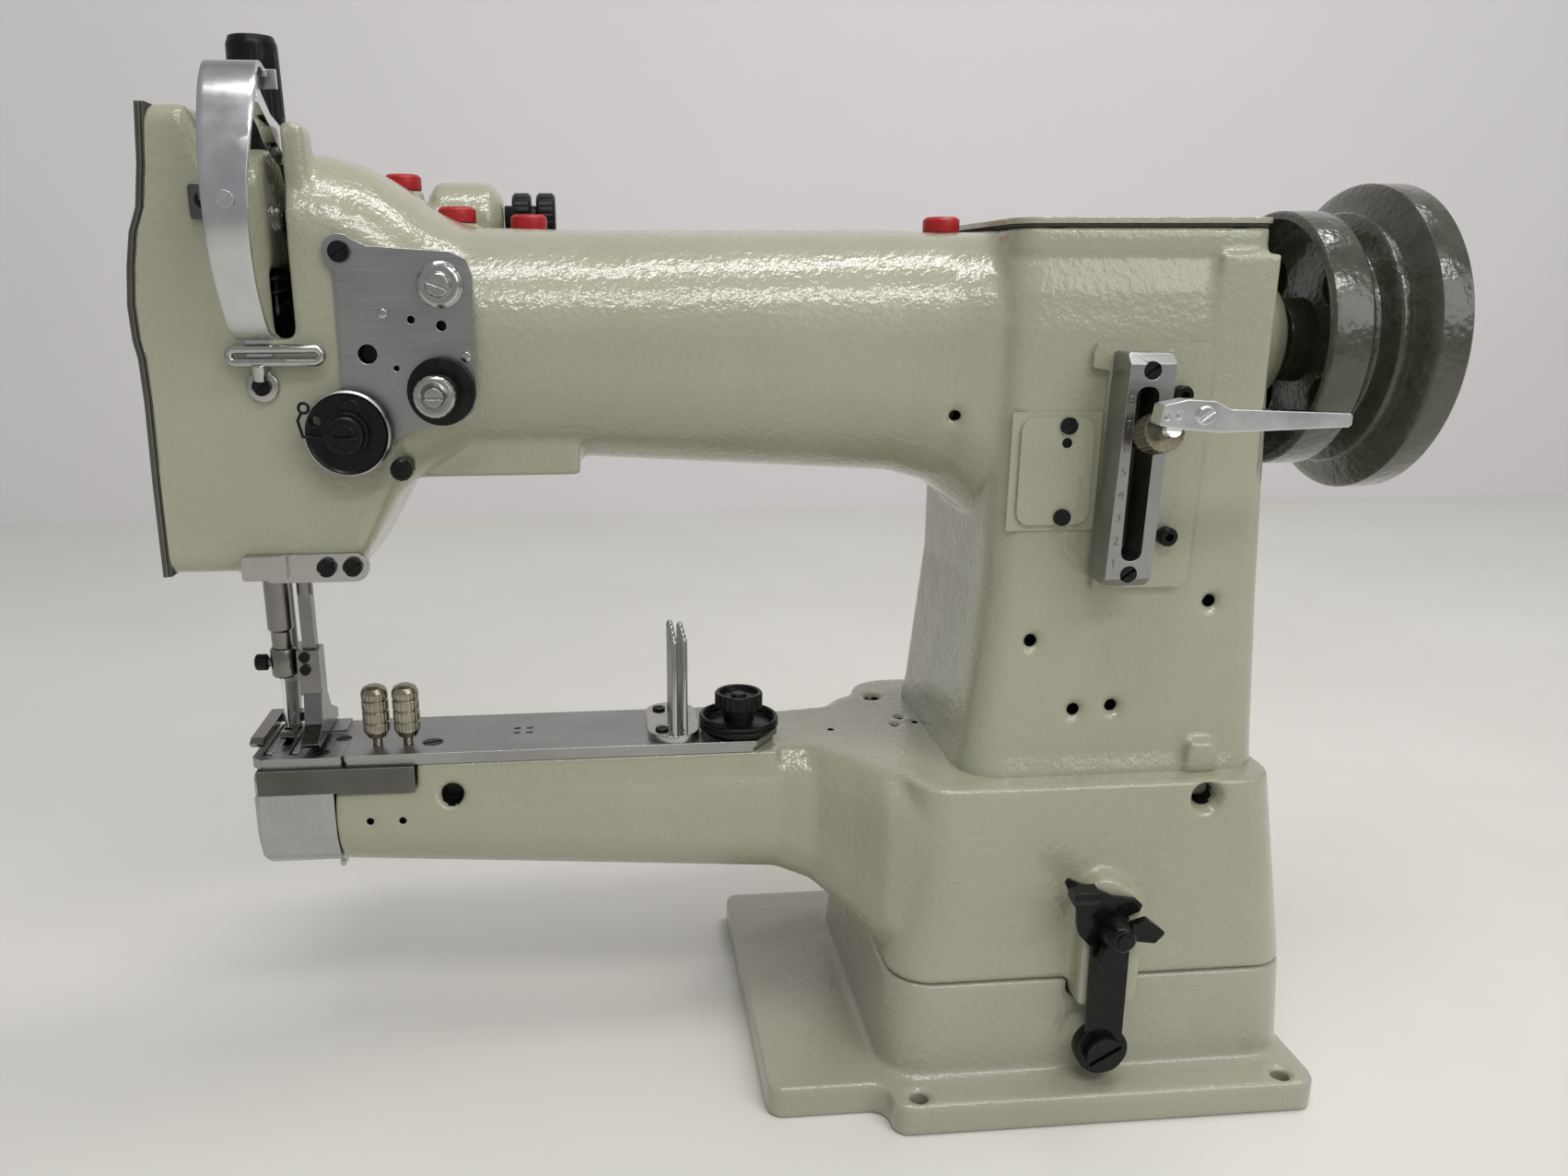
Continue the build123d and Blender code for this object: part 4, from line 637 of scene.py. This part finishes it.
# ------------------------------------------------------------------ stage: floor, wall, light, camera
def plane(name, corners, material):
    mesh = bpy.data.meshes.new(name)
    mesh.from_pydata(corners, [], [(0, 1, 2, 3)])
    obj = bpy.data.objects.new(name, mesh)
    bpy.context.scene.collection.objects.link(obj)
    obj.data.materials.append(material)
    return obj


def matte(name, color, dark, rough):
    s = Shader(name)
    tone = s.noise(3.0, 4.0, 0.6)
    s.put("Base Color", s.ramp(tone, [(0.3, dark), (0.7, color)]))
    s.put("Roughness", rough)
    return s.mat


FLOOR = matte("table", (0.74, 0.73, 0.68), (0.68, 0.67, 0.62), 0.5)
WALL = matte("wall", (0.72, 0.70, 0.71), (0.70, 0.68, 0.69), 0.7)
plane("floor", [(-4, -3, 0), (4, -3, 0), (4, 1.2, 0), (-4, 1.2, 0)], FLOOR)
plane("wall", [(-4, 1.2, -1), (4, 1.2, -1), (4, 1.2, 4), (-4, 1.2, 4)], WALL)


def area(name, loc, target, size, power, color=(1, 1, 1)):
    data = bpy.data.lights.new(name, "AREA")
    data.shape = "RECTANGLE"
    data.size, data.size_y = size
    data.energy = power
    data.color = color
    obj = bpy.data.objects.new(name, data)
    obj.location = loc
    obj.rotation_euler = (Vector(target) - Vector(loc)).to_track_quat("-Z", "Y").to_euler()
    bpy.context.scene.collection.objects.link(obj)


area("ceiling_strip_a", (0.1, -0.15, 1.75), (0.0, 0.0, 0.2), (1.7, 0.2), 13, (1.0, 0.99, 0.97))
area("ceiling_strip_b", (0.35, -1.35, 1.8), (0.0, 0.0, 0.2), (1.7, 0.2), 15, (1.0, 0.99, 0.97))
area("room_fill", (1.3, -1.7, 1.2), (0, 0, 0.15), (1.4, 1.1), 10, (1.0, 0.99, 0.98))

world = bpy.data.worlds.new("studio")
bpy.context.scene.world = world
world.use_nodes = True
world.node_tree.nodes["Background"].inputs[0].default_value = (0.92, 0.93, 0.96, 1)
world.node_tree.nodes["Background"].inputs[1].default_value = 0.40

cam_data = bpy.data.cameras.new("camera")
cam_data.sensor_width = 36
cam_data.lens = 27.84
cam_data.shift_x = 0.0488
cam_data.shift_y = 0.0259
cam_data.clip_start = 0.01
cam = bpy.data.objects.new("camera", cam_data)
bpy.context.scene.collection.objects.link(cam)
bpy.context.scene.camera = cam
yaw, pitch, roll = math.radians(5.21), math.radians(16.09), math.radians(0.21)
forward = Vector((math.sin(yaw) * math.cos(pitch), math.cos(yaw) * math.cos(pitch), -math.sin(pitch)))
right = Vector((math.cos(yaw), -math.sin(yaw), 0))
down = forward.cross(right)
cam_x = right * math.cos(roll) + down * math.sin(roll)
cam_y = -(down * math.cos(roll) - right * math.sin(roll))
cam.matrix_world = Matrix((cam_x, cam_y, -forward)).transposed().to_4x4()
cam.location = (-0.1862, -0.4615, 0.3106)

scene = bpy.context.scene
scene.view_settings.view_transform = "Standard"
scene.view_settings.look = "None"
